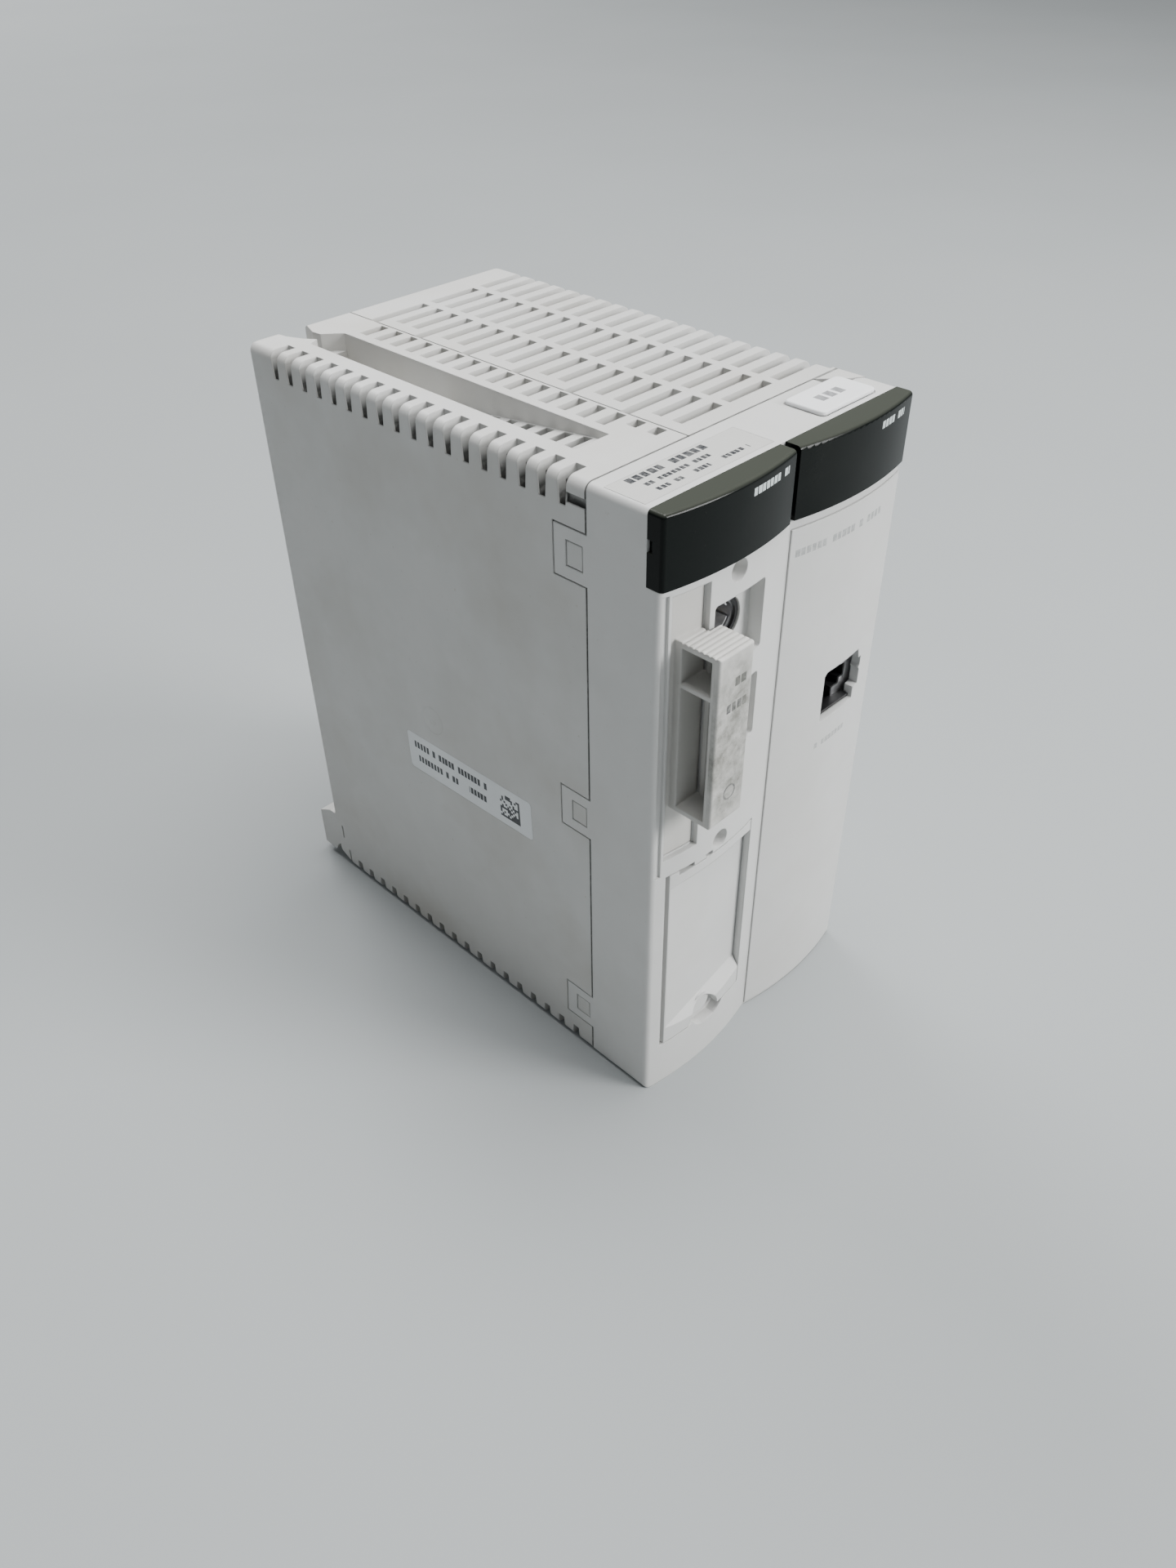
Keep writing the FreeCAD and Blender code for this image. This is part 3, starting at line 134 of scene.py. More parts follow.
def mixColour(tree, factor, first, second):
    node = addNode(tree, "Mix", data_type="RGBA")
    tree.links.new(factor, node.inputs["Factor"])
    for socket, colour in ((node.inputs["A"], first), (node.inputs["B"], second)):
        if isinstance(colour, tuple):
            socket.default_value = colour
        else:
            tree.links.new(colour, socket)
    return node.outputs["Result"]


# moulded plastic: drifting colour, soil in blotches and near the bottom, specks, fine grain
skinPattern = {"driftScale": 24.0, "cloudScale": 75.0, "speckScale": 900.0, "speckFrom": 0.71,
               "speckTo": 0.78, "floorShare": 0.3, "darkest": 0.972, "lightest": 1.02, "roughSpread": 0.12}


def buildMouldedSkin():
    group, start, end = newGroup(
        "mouldedSkin",
        {"Base": (0.6, 0.6, 0.58, 1), "Soil": (0.3, 0.27, 0.22, 1), "Soil Amount": 0.2, "Speck Amount": 0.3,
         "Grain Scale": 2600.0, "Roughness": 0.5, "Soil Height": 0.04},
        {"Color": "Color", "Roughness": "Float", "Height": "Float"})
    place = addNode(group, "TexCoord").outputs["Object"]
    drift = noise(group, place, skinPattern["driftScale"], detail=4.0, roughness=0.6)
    blotch = remap(group, drift, 0.46, 0.72)
    cloud = noise(group, place, skinPattern["cloudScale"], detail=5.0, roughness=0.6)
    fine = noise(group, place, skinPattern["speckScale"], detail=2.0, roughness=0.5)
    speck = remap(group, fine, skinPattern["speckFrom"], skinPattern["speckTo"])
    apart = addNode(group, "SeparateXYZ")
    group.links.new(place, apart.inputs["Vector"])
    nearFloor = addNode(group, "MapRange", {"To Min": 1.0, "To Max": 0.0})
    group.links.new(apart.outputs["Z"], nearFloor.inputs["Value"])
    group.links.new(start.outputs["Soil Height"], nearFloor.inputs["From Max"])
    patches = calc(group, "MULTIPLY", blotch, cloud)
    gathered = calc(group, "MULTIPLY_ADD", nearFloor.outputs["Result"], skinPattern["floorShare"], patches)
    soiled = calc(group, "MULTIPLY", gathered, start.outputs["Soil Amount"])
    specks = calc(group, "MULTIPLY", speck, start.outputs["Speck Amount"])
    amount = calc(group, "MAXIMUM", soiled, specks, clamp=True)
    mixed = mixColour(group, amount, start.outputs["Base"], start.outputs["Soil"])
    shade = addNode(group, "HueSaturation")
    brightness = remap(group, cloud, 0.3, 0.7, skinPattern["darkest"], skinPattern["lightest"])
    group.links.new(brightness, shade.inputs["Value"])
    group.links.new(mixed, shade.inputs["Color"])
    group.links.new(shade.outputs["Color"], end.inputs["Color"])
    rough = calc(group, "MULTIPLY_ADD", blotch, skinPattern["roughSpread"], start.outputs["Roughness"])
    group.links.new(rough, end.inputs["Roughness"])
    grain = noise(group, place, start.outputs["Grain Scale"], detail=4.0, roughness=0.65)
    group.links.new(grain, end.inputs["Height"])
    return group


# edge wear and painted edge highlight: where a softened normal leaves the flat one, the surface is an edge
edgeWearHighlightPattern = {"flatAbove": 0.99, "edgeBelow": 0.8, "breakFrom": 0.4, "breakTo": 0.65}


def buildEdgeWearAndHighlight():
    group, start, end = newGroup("edgeWearAndHighlight", {"Radius": 0.0004, "Breakup": 600.0}, {"Mask": "Float"})
    soft = addNode(group, "Bevel", samples=4)
    group.links.new(start.outputs["Radius"], soft.inputs["Radius"])
    flat = addNode(group, "NewGeometry")
    dot = addNode(group, "VectorMath", operation="DOT_PRODUCT")
    group.links.new(soft.outputs["Normal"], dot.inputs[0])
    group.links.new(flat.outputs["Normal"], dot.inputs[1])
    edge = remap(group, dot.outputs["Value"], edgeWearHighlightPattern["flatAbove"], edgeWearHighlightPattern["edgeBelow"])
    place = addNode(group, "TexCoord").outputs["Object"]
    patchy = noise(group, place, start.outputs["Breakup"], detail=3.0, roughness=0.6)
    broken = remap(group, patchy, edgeWearHighlightPattern["breakFrom"], edgeWearHighlightPattern["breakTo"])
    group.links.new(calc(group, "MULTIPLY", edge, broken), end.inputs["Mask"])
    return group


# a printed row of plain dashes, uneven in length, with gaps where the chance falls low
dashPattern = {"shortest": 0.62, "spread": 0.26, "gapBelow": 0.15}


def buildDashRow():
    group, start, end = newGroup(
        "dashRow",
        {"Along": 0.0, "Across": 0.0, "Start": 0.0, "End": 0.01, "Centre": 0.0, "Height": 0.001,
         "Dash": 0.001, "Seed": 0.0},
        {"Mask": "Float"})
    told = start.outputs
    run = calc(group, "DIVIDE", calc(group, "SUBTRACT", told["Along"], told["Start"]), told["Dash"])
    cell = calc(group, "ADD", calc(group, "FLOOR", run), told["Seed"])
    dice = addNode(group, "TexWhiteNoise", noise_dimensions="1D")
    group.links.new(cell, dice.inputs["W"])
    chance = dice.outputs["Value"]
    width = calc(group, "MULTIPLY_ADD", chance, dashPattern["spread"], dashPattern["shortest"])
    mask = calc(group, "LESS_THAN", calc(group, "FRACT", run), width)
    mask = calc(group, "MULTIPLY", mask, calc(group, "GREATER_THAN", chance, dashPattern["gapBelow"]))
    mask = calc(group, "MULTIPLY", mask, calc(group, "GREATER_THAN", told["Along"], told["Start"]))
    mask = calc(group, "MULTIPLY", mask, calc(group, "LESS_THAN", told["Along"], told["End"]))
    offset = calc(group, "ABSOLUTE", calc(group, "SUBTRACT", told["Across"], told["Centre"]))
    inside = calc(group, "LESS_THAN", offset, calc(group, "MULTIPLY", told["Height"], 0.5))
    group.links.new(calc(group, "MULTIPLY", mask, inside), end.inputs["Mask"])
    return group


# a square patch of random cells; its first column and row are solid
def buildCellPatch():
    group, start, end = newGroup(
        "cellPatch", {"Along": 0.0, "Across": 0.0, "Start": 0.0, "Low": 0.0, "Size": 0.006, "Cells": 12.0},
        {"Mask": "Float"})
    told = start.outputs
    u = calc(group, "DIVIDE", calc(group, "SUBTRACT", told["Along"], told["Start"]), told["Size"])
    v = calc(group, "DIVIDE", calc(group, "SUBTRACT", told["Across"], told["Low"]), told["Size"])
    column = calc(group, "FLOOR", calc(group, "MULTIPLY", u, told["Cells"]))
    row = calc(group, "FLOOR", calc(group, "MULTIPLY", v, told["Cells"]))
    pair = addNode(group, "CombineXYZ")
    group.links.new(column, pair.inputs["X"])
    group.links.new(row, pair.inputs["Y"])
    dice = addNode(group, "TexWhiteNoise", noise_dimensions="2D")
    group.links.new(pair.outputs["Vector"], dice.inputs["Vector"])
    dark = calc(group, "GREATER_THAN", dice.outputs["Value"], 0.5)
    border = calc(group, "MAXIMUM", calc(group, "LESS_THAN", column, 0.5), calc(group, "LESS_THAN", row, 0.5))
    mask = calc(group, "MAXIMUM", dark, border)
    for value in (u, v):
        mask = calc(group, "MULTIPLY", mask, calc(group, "GREATER_THAN", value, 0.0))
        mask = calc(group, "MULTIPLY", mask, calc(group, "LESS_THAN", value, 1.0))
    group.links.new(mask, end.inputs["Mask"])
    return group


# a thin ring, such as the mark that a mould's gate leaves
def buildRingMark():
    group, start, end = newGroup(
        "ringMark", {"Along": 0.0, "Across": 0.0, "A": 0.0, "B": 0.0, "Radius": 0.004, "Width": 0.0003},
        {"Mask": "Float"})
    told = start.outputs
    da = calc(group, "SUBTRACT", told["Along"], told["A"])
    db = calc(group, "SUBTRACT", told["Across"], told["B"])
    squares = calc(group, "MULTIPLY_ADD", da, da, calc(group, "MULTIPLY", db, db))
    radius = calc(group, "SQRT", squares)
    away = calc(group, "ABSOLUTE", calc(group, "SUBTRACT", radius, told["Radius"]))
    ratio = calc(group, "DIVIDE", away, told["Width"])
    group.links.new(calc(group, "SUBTRACT", 1.0, ratio, clamp=True), end.inputs["Mask"])
    return group


# a cloudy patch with soft edges, for grime where fingers touch
smudgePattern = {"clearAt": 1.0, "fullAt": 0.3, "cloudScale": 260.0, "cloudFrom": 0.3, "cloudTo": 0.62}


def buildSmudge():
    group, start, end = newGroup(
        "smudge", {"Along": 0.0, "Across": 0.0, "A": 0.0, "B": 0.0, "Reach A": 0.005, "Reach B": 0.01},
        {"Mask": "Float"})
    told = start.outputs
    da = calc(group, "DIVIDE", calc(group, "SUBTRACT", told["Along"], told["A"]), told["Reach A"])
    db = calc(group, "DIVIDE", calc(group, "SUBTRACT", told["Across"], told["B"]), told["Reach B"])
    squares = calc(group, "MULTIPLY_ADD", da, da, calc(group, "MULTIPLY", db, db))
    fade = remap(group, squares, smudgePattern["clearAt"], smudgePattern["fullAt"])
    place = addNode(group, "TexCoord").outputs["Object"]
    patchy = noise(group, place, smudgePattern["cloudScale"], detail=5.0, roughness=0.65)
    cloud = remap(group, patchy, smudgePattern["cloudFrom"], smudgePattern["cloudTo"])
    group.links.new(calc(group, "MULTIPLY", fade, cloud), end.inputs["Mask"])
    return group


# painted shade in a band, inside slots or along a seam, patchy, and fading out towards its high side
shadeBandPattern = {"cloudScale": 420.0, "cloudFrom": 0.25, "cloudTo": 0.5, "thinnest": 0.6}


def buildPaintedShadeBand():
    group, start, end = newGroup(
        "paintedShadeBand", {"Along": 0.0, "Across": 0.0, "Start": 0.0, "End": 0.01, "Low": 0.0, "High": 0.01,
                         "Soft": 0.001}, {"Mask": "Float"})
    told = start.outputs
    mask = calc(group, "GREATER_THAN", told["Along"], told["Start"])
    mask = calc(group, "MULTIPLY", mask, calc(group, "LESS_THAN", told["Along"], told["End"]))
    mask = calc(group, "MULTIPLY", mask, calc(group, "GREATER_THAN", told["Across"], told["Low"]))
    below = calc(group, "SUBTRACT", told["High"], told["Across"])
    room = calc(group, "DIVIDE", below, told["Soft"], clamp=True)
    place = addNode(group, "TexCoord").outputs["Object"]
    patchy = noise(group, place, shadeBandPattern["cloudScale"], detail=4.0, roughness=0.6)
    cloud = remap(group, patchy, shadeBandPattern["cloudFrom"], shadeBandPattern["cloudTo"], shadeBandPattern["thinnest"])
    mask = calc(group, "MULTIPLY", mask, calc(group, "MULTIPLY", room, cloud))
    group.links.new(mask, end.inputs["Mask"])
    return group


# machined or drawn metal: streaks, dulling and fine pits
metalPattern = {"stretch": (1.0, 0.08, 1.0), "blotchScale": 260.0, "blotchFrom": 0.4, "blotchTo": 0.7,
                "roughSpread": 0.15}


def buildMetalSkin():
    group, start, end = newGroup(
        "metalSkin", {"Base": (0.6, 0.6, 0.6, 1), "Dull": (0.3, 0.3, 0.3, 1), "Dull Amount": 0.4,
                      "Streak Scale": 900.0, "Roughness": 0.3},
        {"Color": "Color", "Roughness": "Float", "Height": "Float"})
    place = addNode(group, "TexCoord").outputs["Object"]
    stretch = addNode(group, "Mapping", {"Scale": metalPattern["stretch"]})
    group.links.new(place, stretch.inputs["Vector"])
    streak = noise(group, stretch.outputs["Vector"], start.outputs["Streak Scale"], detail=3.0, roughness=0.6)
    patchy = noise(group, place, metalPattern["blotchScale"], detail=4.0, roughness=0.6)
    blotch = remap(group, patchy, metalPattern["blotchFrom"], metalPattern["blotchTo"])
    factor = calc(group, "MULTIPLY", blotch, start.outputs["Dull Amount"], clamp=True)
    colour = mixColour(group, factor, start.outputs["Base"], start.outputs["Dull"])
    group.links.new(colour, end.inputs["Color"])
    spread = metalPattern["roughSpread"]
    rough = calc(group, "MULTIPLY_ADD", blotch, spread, start.outputs["Roughness"])
    group.links.new(calc(group, "MULTIPLY_ADD", streak, spread, rough), end.inputs["Roughness"])
    group.links.new(streak, end.inputs["Height"])
    return group


groups = {
    "skin": buildMouldedSkin(), "wearAndHighlight": buildEdgeWearAndHighlight(), "dashes": buildDashRow(), "cells": buildCellPatch(),
    "ring": buildRingMark(), "smudge": buildSmudge(), "paintedShade": buildPaintedShadeBand(),
    "metal": buildMetalSkin(),
}
print("shader groups built:", len(groups))


# places a group in a material; numbers go on its sockets and outputs are linked
def useGroup(tree, key, values):
    node = addNode(tree, "Group", node_tree=groups[key])
    for label, value in values.items():
        if isinstance(value, (int, float, tuple)):
            node.inputs[label].default_value = value
        else:
            tree.links.new(value, node.inputs[label])
    return node


def newMaterial(name):
    material = bpy.data.materials.new(name)
    material.use_nodes = True
    return material, material.node_tree, material.node_tree.nodes["Principled BSDF"]


# the two object coordinates that a flat print runs along, turned by tilt about X
def printAxes(tree, axes, tilt=0.0, centre=(0, 0, 0)):
    place = addNode(tree, "TexCoord").outputs["Object"]
    if tilt:
        turned = addNode(tree, "VectorRotate", {"Center": centre, "Angle": math.radians(tilt)},
                         rotation_type="X_AXIS")
        tree.links.new(place, turned.inputs["Vector"])
        place = turned.outputs["Vector"]
    apart = addNode(tree, "SeparateXYZ")
    tree.links.new(place, apart.inputs["Vector"])
    return apart.outputs[axes[0]], apart.outputs[axes[1]]


# how far edge wear and the painted edge highlight reach past the rounding, how print wears, and the clear
# coat's gloss
finish = {"wearHighlightReach": 1.6, "printScale": 1300.0, "wornBelow": 0.35, "wholeAbove": 0.6, "coatRoughness": 0.08}


def plastic(name, look, marks=()):
    material, tree, shader = newMaterial(name)
    skin = useGroup(tree, "skin", {
        "Base": (*look["base"], 1), "Soil": (*look["soil"], 1), "Soil Amount": look["soilAmount"],
        "Speck Amount": look.get("specks", 0.2), "Grain Scale": look["grainScale"],
        "Roughness": look["roughness"], "Soil Height": look.get("soilHeight", 0.03)})
    colour = skin.outputs["Color"]
    # edges are mixed towards a lighter colour: part wear, part painted highlight
    if look.get("wearAndHighlight"):
        wornAndLit = useGroup(tree, "wearAndHighlight", {"Radius": look["edge"] * finish["wearHighlightReach"]})
        amount = calc(tree, "MULTIPLY", wornAndLit.outputs["Mask"], look["wearAndHighlight"])
        colour = mixColour(tree, amount, colour, (*look["wornAndLitBase"], 1))
    height = skin.outputs["Height"]
    for mark in marks:
        along, across = printAxes(tree, mark["axes"], mark.get("tilt", 0.0), mark.get("about", (0, 0, 0)))
        printed = useGroup(tree, mark["kind"], {"Along": along, "Across": across, **mark["values"]})
        mask = printed.outputs["Mask"]
        if "before" in mark:
            depth = printAxes(tree, "YZ")[0]
            mask = calc(tree, "MULTIPLY", mask, calc(tree, "LESS_THAN", depth, mark["before"]))
        if mark.get("relief"):
            height = calc(tree, "MULTIPLY_ADD", mask, mark["relief"], height)
            continue
        place = addNode(tree, "TexCoord").outputs["Object"]
        patchy = noise(tree, place, finish["printScale"], detail=3.0, roughness=0.6)
        faded = remap(tree, patchy, finish["wornBelow"], finish["wholeAbove"], toMin=mark.get("fade", 0.8))
        mask = calc(tree, "MULTIPLY", mask, calc(tree, "MULTIPLY", faded, mark.get("strength", 1.0)))
        colour = mixColour(tree, mask, colour, (*mark["ink"], 1))
    tree.links.new(colour, shader.inputs["Base Color"])
    tree.links.new(skin.outputs["Roughness"], shader.inputs["Roughness"])
    bump = addNode(tree, "Bump", {"Strength": look.get("bump", 0.35), "Distance": look["grainDepth"]})
    tree.links.new(height, bump.inputs["Height"])
    if look.get("edge"):
        soft = addNode(tree, "Bevel", {"Radius": look["edge"]}, samples=4)
        tree.links.new(soft.outputs["Normal"], bump.inputs["Normal"])
    tree.links.new(bump.outputs["Normal"], shader.inputs["Normal"])
    shader.inputs["Specular IOR Level"].default_value = look.get("specular", 0.5)
    shader.inputs["Coat Weight"].default_value = look.get("coat", 0.0)
    shader.inputs["Coat Roughness"].default_value = finish["coatRoughness"]
    return material


def metal(name, look):
    material, tree, shader = newMaterial(name)
    skin = useGroup(tree, "metal", {
        "Base": (*look["base"], 1), "Dull": (*look["dull"], 1), "Dull Amount": look["dullAmount"],
        "Streak Scale": look["streak"], "Roughness": look["roughness"]})
    bump = addNode(tree, "Bump", {"Strength": 0.3, "Distance": 0.00002})
    tree.links.new(skin.outputs["Height"], bump.inputs["Height"])
    tree.links.new(bump.outputs["Normal"], shader.inputs["Normal"])
    tree.links.new(skin.outputs["Color"], shader.inputs["Base Color"])
    tree.links.new(skin.outputs["Roughness"], shader.inputs["Roughness"])
    shader.inputs["Metallic"].default_value = 1.0
    return material


looks = {
    "casing": {"base": (0.592, 0.592, 0.578), "wornAndLitBase": (0.67, 0.67, 0.66), "soil": (0.33, 0.29, 0.22),
               "soilAmount": 0.5, "specks": 0.30, "roughness": 0.46, "grainScale": 2600.0,
               "grainDepth": 0.00006, "edge": 0.0004, "wearAndHighlight": 0.25, "soilHeight": 0.05},
    "cover": {"base": (0.618, 0.620, 0.608), "wornAndLitBase": (0.69, 0.69, 0.68), "soil": (0.36, 0.32, 0.26),
              "soilAmount": 0.28, "specks": 0.16, "roughness": 0.42, "grainScale": 3200.0,
              "grainDepth": 0.00004, "edge": 0.0004, "wearAndHighlight": 0.2},
    "card": {"base": (0.570, 0.562, 0.535), "wornAndLitBase": (0.68, 0.67, 0.65), "soil": (0.24, 0.22, 0.175),
             "soilAmount": 0.8, "specks": 0.3, "roughness": 0.45, "grainScale": 1800.0,
             "grainDepth": 0.00005, "edge": 0.0006, "wearAndHighlight": 0.35, "soilHeight": 0.0001},
    "black": {"base": (0.009, 0.009, 0.010), "wornAndLitBase": (0.045, 0.045, 0.045), "soil": (0.06, 0.057, 0.05),
              "soilAmount": 0.15, "roughness": 0.42, "grainScale": 1800.0, "grainDepth": 0.00004,
              "edge": 0.0002, "wearAndHighlight": 0.3, "soilHeight": 0.0001},
    "board": {"base": (0.012, 0.115, 0.045), "soil": (0.05, 0.18, 0.07), "soilAmount": 0.5, "roughness": 0.32,
              "grainScale": 700.0, "grainDepth": 0.00003},
    "labelWhite": {"base": (0.80, 0.82, 0.83), "soil": (0.45, 0.43, 0.38), "soilAmount": 0.15,
                   "roughness": 0.42, "grainScale": 5000.0, "grainDepth": 0.00001},
    "labelClear": {"base": (0.590, 0.590, 0.570), "soil": (0.36, 0.33, 0.28), "soilAmount": 0.25,
                   "roughness": 0.22, "grainScale": 900.0, "grainDepth": 0.00001, "coat": 0.15},
    "marker": {"base": (0.90, 0.91, 0.92), "soil": (0.48, 0.45, 0.40), "soilAmount": 0.1, "roughness": 0.28,
               "grainScale": 900.0, "grainDepth": 0.00002, "edge": 0.0004, "coat": 0.2},
    "guide": {"base": (0.70, 0.72, 0.68), "soil": (0.50, 0.50, 0.45), "soilAmount": 0.1, "roughness": 0.15,
              "grainScale": 900.0, "grainDepth": 0.00001},
    "chip": {"base": (0.022, 0.022, 0.024), "soil": (0.09, 0.09, 0.09), "soilAmount": 0.3, "roughness": 0.5,
             "grainScale": 3500.0, "grainDepth": 0.00003},
    "ceramic": {"base": (0.42, 0.33, 0.22), "soil": (0.25, 0.20, 0.14), "soilAmount": 0.4, "roughness": 0.35,
                "grainScale": 2600.0, "grainDepth": 0.00002},
    "sleeve": {"base": (0.02, 0.03, 0.10), "soil": (0.10, 0.11, 0.18), "soilAmount": 0.4, "roughness": 0.3,
               "grainScale": 1500.0, "grainDepth": 0.00001},
}
metals = {
    "blade": {"base": (0.74, 0.74, 0.75), "dull": (0.45, 0.45, 0.46), "dullAmount": 0.4, "streak": 800.0,
              "roughness": 0.42},
    "brass": {"base": (0.83, 0.62, 0.26), "dull": (0.38, 0.26, 0.10), "dullAmount": 0.4, "streak": 900.0,
              "roughness": 0.2},
    "tinned": {"base": (0.62, 0.62, 0.63), "dull": (0.42, 0.42, 0.43), "dullAmount": 0.25, "streak": 700.0,
               "roughness": 0.24},
    "zinc": {"base": (0.54, 0.55, 0.57), "dull": (0.34, 0.35, 0.36), "dullAmount": 0.4, "streak": 700.0,
             "roughness": 0.32},
}
ink = (0.035, 0.037, 0.042)
faintInk = (0.28, 0.29, 0.29)
windowInk = (0.62, 0.68, 0.68)


# one row of dashes in millimetres: centre is across the row, start and end along it
def dashes(axes, centre, height, start, end, dash, seed, ink=ink, **extra):
    values = {"Start": start * mm, "End": end * mm, "Centre": centre * mm, "Height": height * mm,
              "Dash": dash * mm, "Seed": float(seed)}
    return {"kind": "dashes", "axes": axes, "values": values, "ink": ink, **extra}


# the side label's print follows its tilt
sideMiddle = (low("side_label") + high("side_label")) / 2
sideFront = low("side_label").y / mm
sideZ = sideMiddle.z / mm
sideLook = {"tilt": 1.6, "about": tuple(sideMiddle), "fade": 0.97}
labelMarks = [
    dashes("YZ", centre=sideZ + 2.3, height=1.9, start=sideFront + 15.0, end=sideFront + 41.0, dash=1.15,
           seed=3, **sideLook),
    dashes("YZ", centre=sideZ - 1.6, height=1.8, start=sideFront + 25.5, end=sideFront + 40.0, dash=1.15,
           seed=16, **sideLook),
    dashes("YZ", centre=sideZ - 1.6, height=1.8, start=sideFront + 15.5, end=sideFront + 21.5, dash=1.15,
           seed=5, **sideLook),
    {"kind": "cells", "axes": "YZ", "ink": ink, **sideLook,
     "values": {"Start": (sideFront + 4.0) * mm, "Low": (sideZ - 3.3) * mm, "Size": 6.6 * mm, "Cells": 11.0}},
]
# three rows on the clear label on top; each entry is drop, height, start, end, dash and seed
topRear = high("type_label").y / mm
topLeft = low("type_label").x / mm
topRows = ((1.6, 1.9, 4.0, 26.5, 1.9, 7), (4.6, 1.2, 5.4, 22.5, 1.15, 2), (7.2, 1.2, 5.6, 12.5, 1.15, 9),
           (7.2, 1.2, 14.2, 19.4, 1.15, 4), (7.2, 1.2, 23.0, 30.2, 1.15, 13))
topMarks = [dashes("XY", topRear - drop, height, topLeft + start, topLeft + end, dash, seed)
            for drop, height, start, end, dash, seed in topRows]
markerMiddle = (low("slot_marker") + high("slot_marker")) / 2 / mm
markerMarks = [dashes("XY", centre=markerMiddle.y, height=2.6, start=markerMiddle.x - 4.0,
                      end=markerMiddle.x + 4.2, dash=2.8, seed=21, strength=0.75)]
# two faint rows on the network panel, above and below its jack
panelTop = high("network_panel").z / mm
panelLeft = low("network_panel").x / mm
panelMarks = [
    dashes("XZ", centre=panelTop - 5.4, height=1.6, start=panelLeft + 1.4, end=panelLeft + 28.5, dash=1.45,
           seed=6, ink=faintInk, strength=0.85, fade=0.5),
    dashes("XZ", centre=panelTop - 57.9, height=1.4, start=panelLeft + 14.1, end=panelLeft + 25.9, dash=1.3,
           seed=3, ink=faintInk, strength=0.75, fade=0.5),
]
# the grip: two short rows, finger grime and a ring, on its front skin only
gripTop = high("card_handle").z / mm
gripRight = high("card_handle").x / mm
gripLook = {"fade": 0.5, "before": low("card_handle").y + 1.2 * mm}
gripMarks = [
    dashes("XZ", centre=gripTop - 15.85, height=1.9, start=gripRight - 6.7, end=gripRight - 1.7, dash=1.7,
           seed=4, **gripLook),
    dashes("XZ", centre=gripTop - 21.15, height=1.9, start=gripRight - 7.0, end=gripRight - 1.4, dash=1.5,
           seed=8, **gripLook),
    {"kind": "smudge", "axes": "XZ", "ink": (0.15, 0.15, 0.125), "strength": 0.85,
     "before": gripLook["before"],
     "values": {"A": (gripRight - 4.6) * mm, "B": (gripTop - 29.95) * mm, "Reach A": 8.0 * mm,
                "Reach B": 24.0 * mm}},
    {"kind": "ring", "axes": "XZ", "ink": ink, **gripLook,
     "values": {"A": (gripRight - 4.4) * mm, "B": (gripTop - 41.65) * mm, "Radius": 1.6 * mm,
                "Width": 0.32 * mm}},
]
# one row at the right of each display window
windowTop = high("display_window_left").z / mm
windowLeftEnd = high("display_window_left").x / mm
windowRightEnd = high("display_window_right").x / mm
windowRowsLeft = [dashes("XZ", centre=windowTop - 2.6, height=1.5, start=windowLeftEnd - 14.3,
                         end=windowLeftEnd - 2.6, dash=1.25, seed=5, ink=windowInk)]
windowRowsRight = [dashes("XZ", centre=windowTop - 2.6, height=1.5, start=windowRightEnd - 13.2,
                          end=windowRightEnd - 4.2, dash=1.25, seed=8, ink=windowInk)]
# a row of raised dashes over the upper socket's window
coverTop = high("front_cover").z / mm
coverLeft = low("front_cover").x / mm
coverMarks = [dashes("XZ", centre=coverTop - 23.1, height=1.7, start=coverLeft + 23.8, end=coverLeft + 29.6,
                     dash=1.5, seed=6, relief=14.0)]
# painted shade at the lower ends of the upper side slots and along the seam, and the mould's gate mark
casingLow, casingHigh = low("rear_casing_left"), high("rear_casing_left")
slotShadeValues = {"rearClear": 14.0 * mm, "skin": 0.3 * mm, "reach": 5.0 * mm, "drop": 10.5 * mm,
               "clear": 2.0 * mm, "soft": 2.4 * mm}
# painted shade: near-black inside the lower ends of the upper side slots, patchy
slotPaintedShade = {"kind": "paintedShade", "axes": "XZ", "ink": (0.035, 0.037, 0.034), "strength": 0.93, "fade": 0.97,
             "before": casingHigh.y - slotShadeValues["rearClear"]}
slotShadeLeft = {"Start": cadLow.x + slotShadeValues["skin"], "End": cadLow.x + slotShadeValues["reach"],
             "Low": casingHigh.z - slotShadeValues["drop"], "High": casingHigh.z - slotShadeValues["clear"],
             "Soft": slotShadeValues["soft"]}
slotShadeRight = {**slotShadeLeft, "Start": cadHigh.x - slotShadeValues["reach"], "End": cadHigh.x - slotShadeValues["skin"]}
# painted shade: a dark line on the casing along its seam with the cover
seamPaintedShade = {"kind": "paintedShade", "axes": "YZ", "ink": (0.11, 0.112, 0.105), "strength": 0.9, "fade": 0.9,
             "values": {"Start": casingLow.y - 0.5 * mm, "End": casingLow.y + 0.16 * mm, "Low": -10 * mm,
                        "High": 300 * mm, "Soft": 1.0 * mm}}
gate = {"A": casingHigh.y - 58.8 * mm, "B": casingLow.z + 75.2 * mm}
casingMarks = [
    {**slotPaintedShade, "values": slotShadeLeft},
    seamPaintedShade,
    {"kind": "ring", "axes": "YZ", "relief": 6.0, "values": {**gate, "Radius": 3.6 * mm, "Width": 0.35 * mm}},
    {"kind": "ring", "axes": "YZ", "relief": -8.0, "values": {**gate, "Radius": 0.5 * mm, "Width": 0.8 * mm}},
]


# smoked display: near black, with a lighter, browner band where light falls through the top
windowLook = {"base": (0.0035, 0.0050, 0.0044), "top": (0.046, 0.050, 0.041), "soil": (0.06, 0.06, 0.055),
              "soilAmount": 0.12, "specks": 0.08, "grainScale": 300.0, "roughness": 0.16,
              "soilHeight": 0.0001, "topFrom": 0.4, "topTo": 0.95, "print": 0.85, "specular": 0.11}


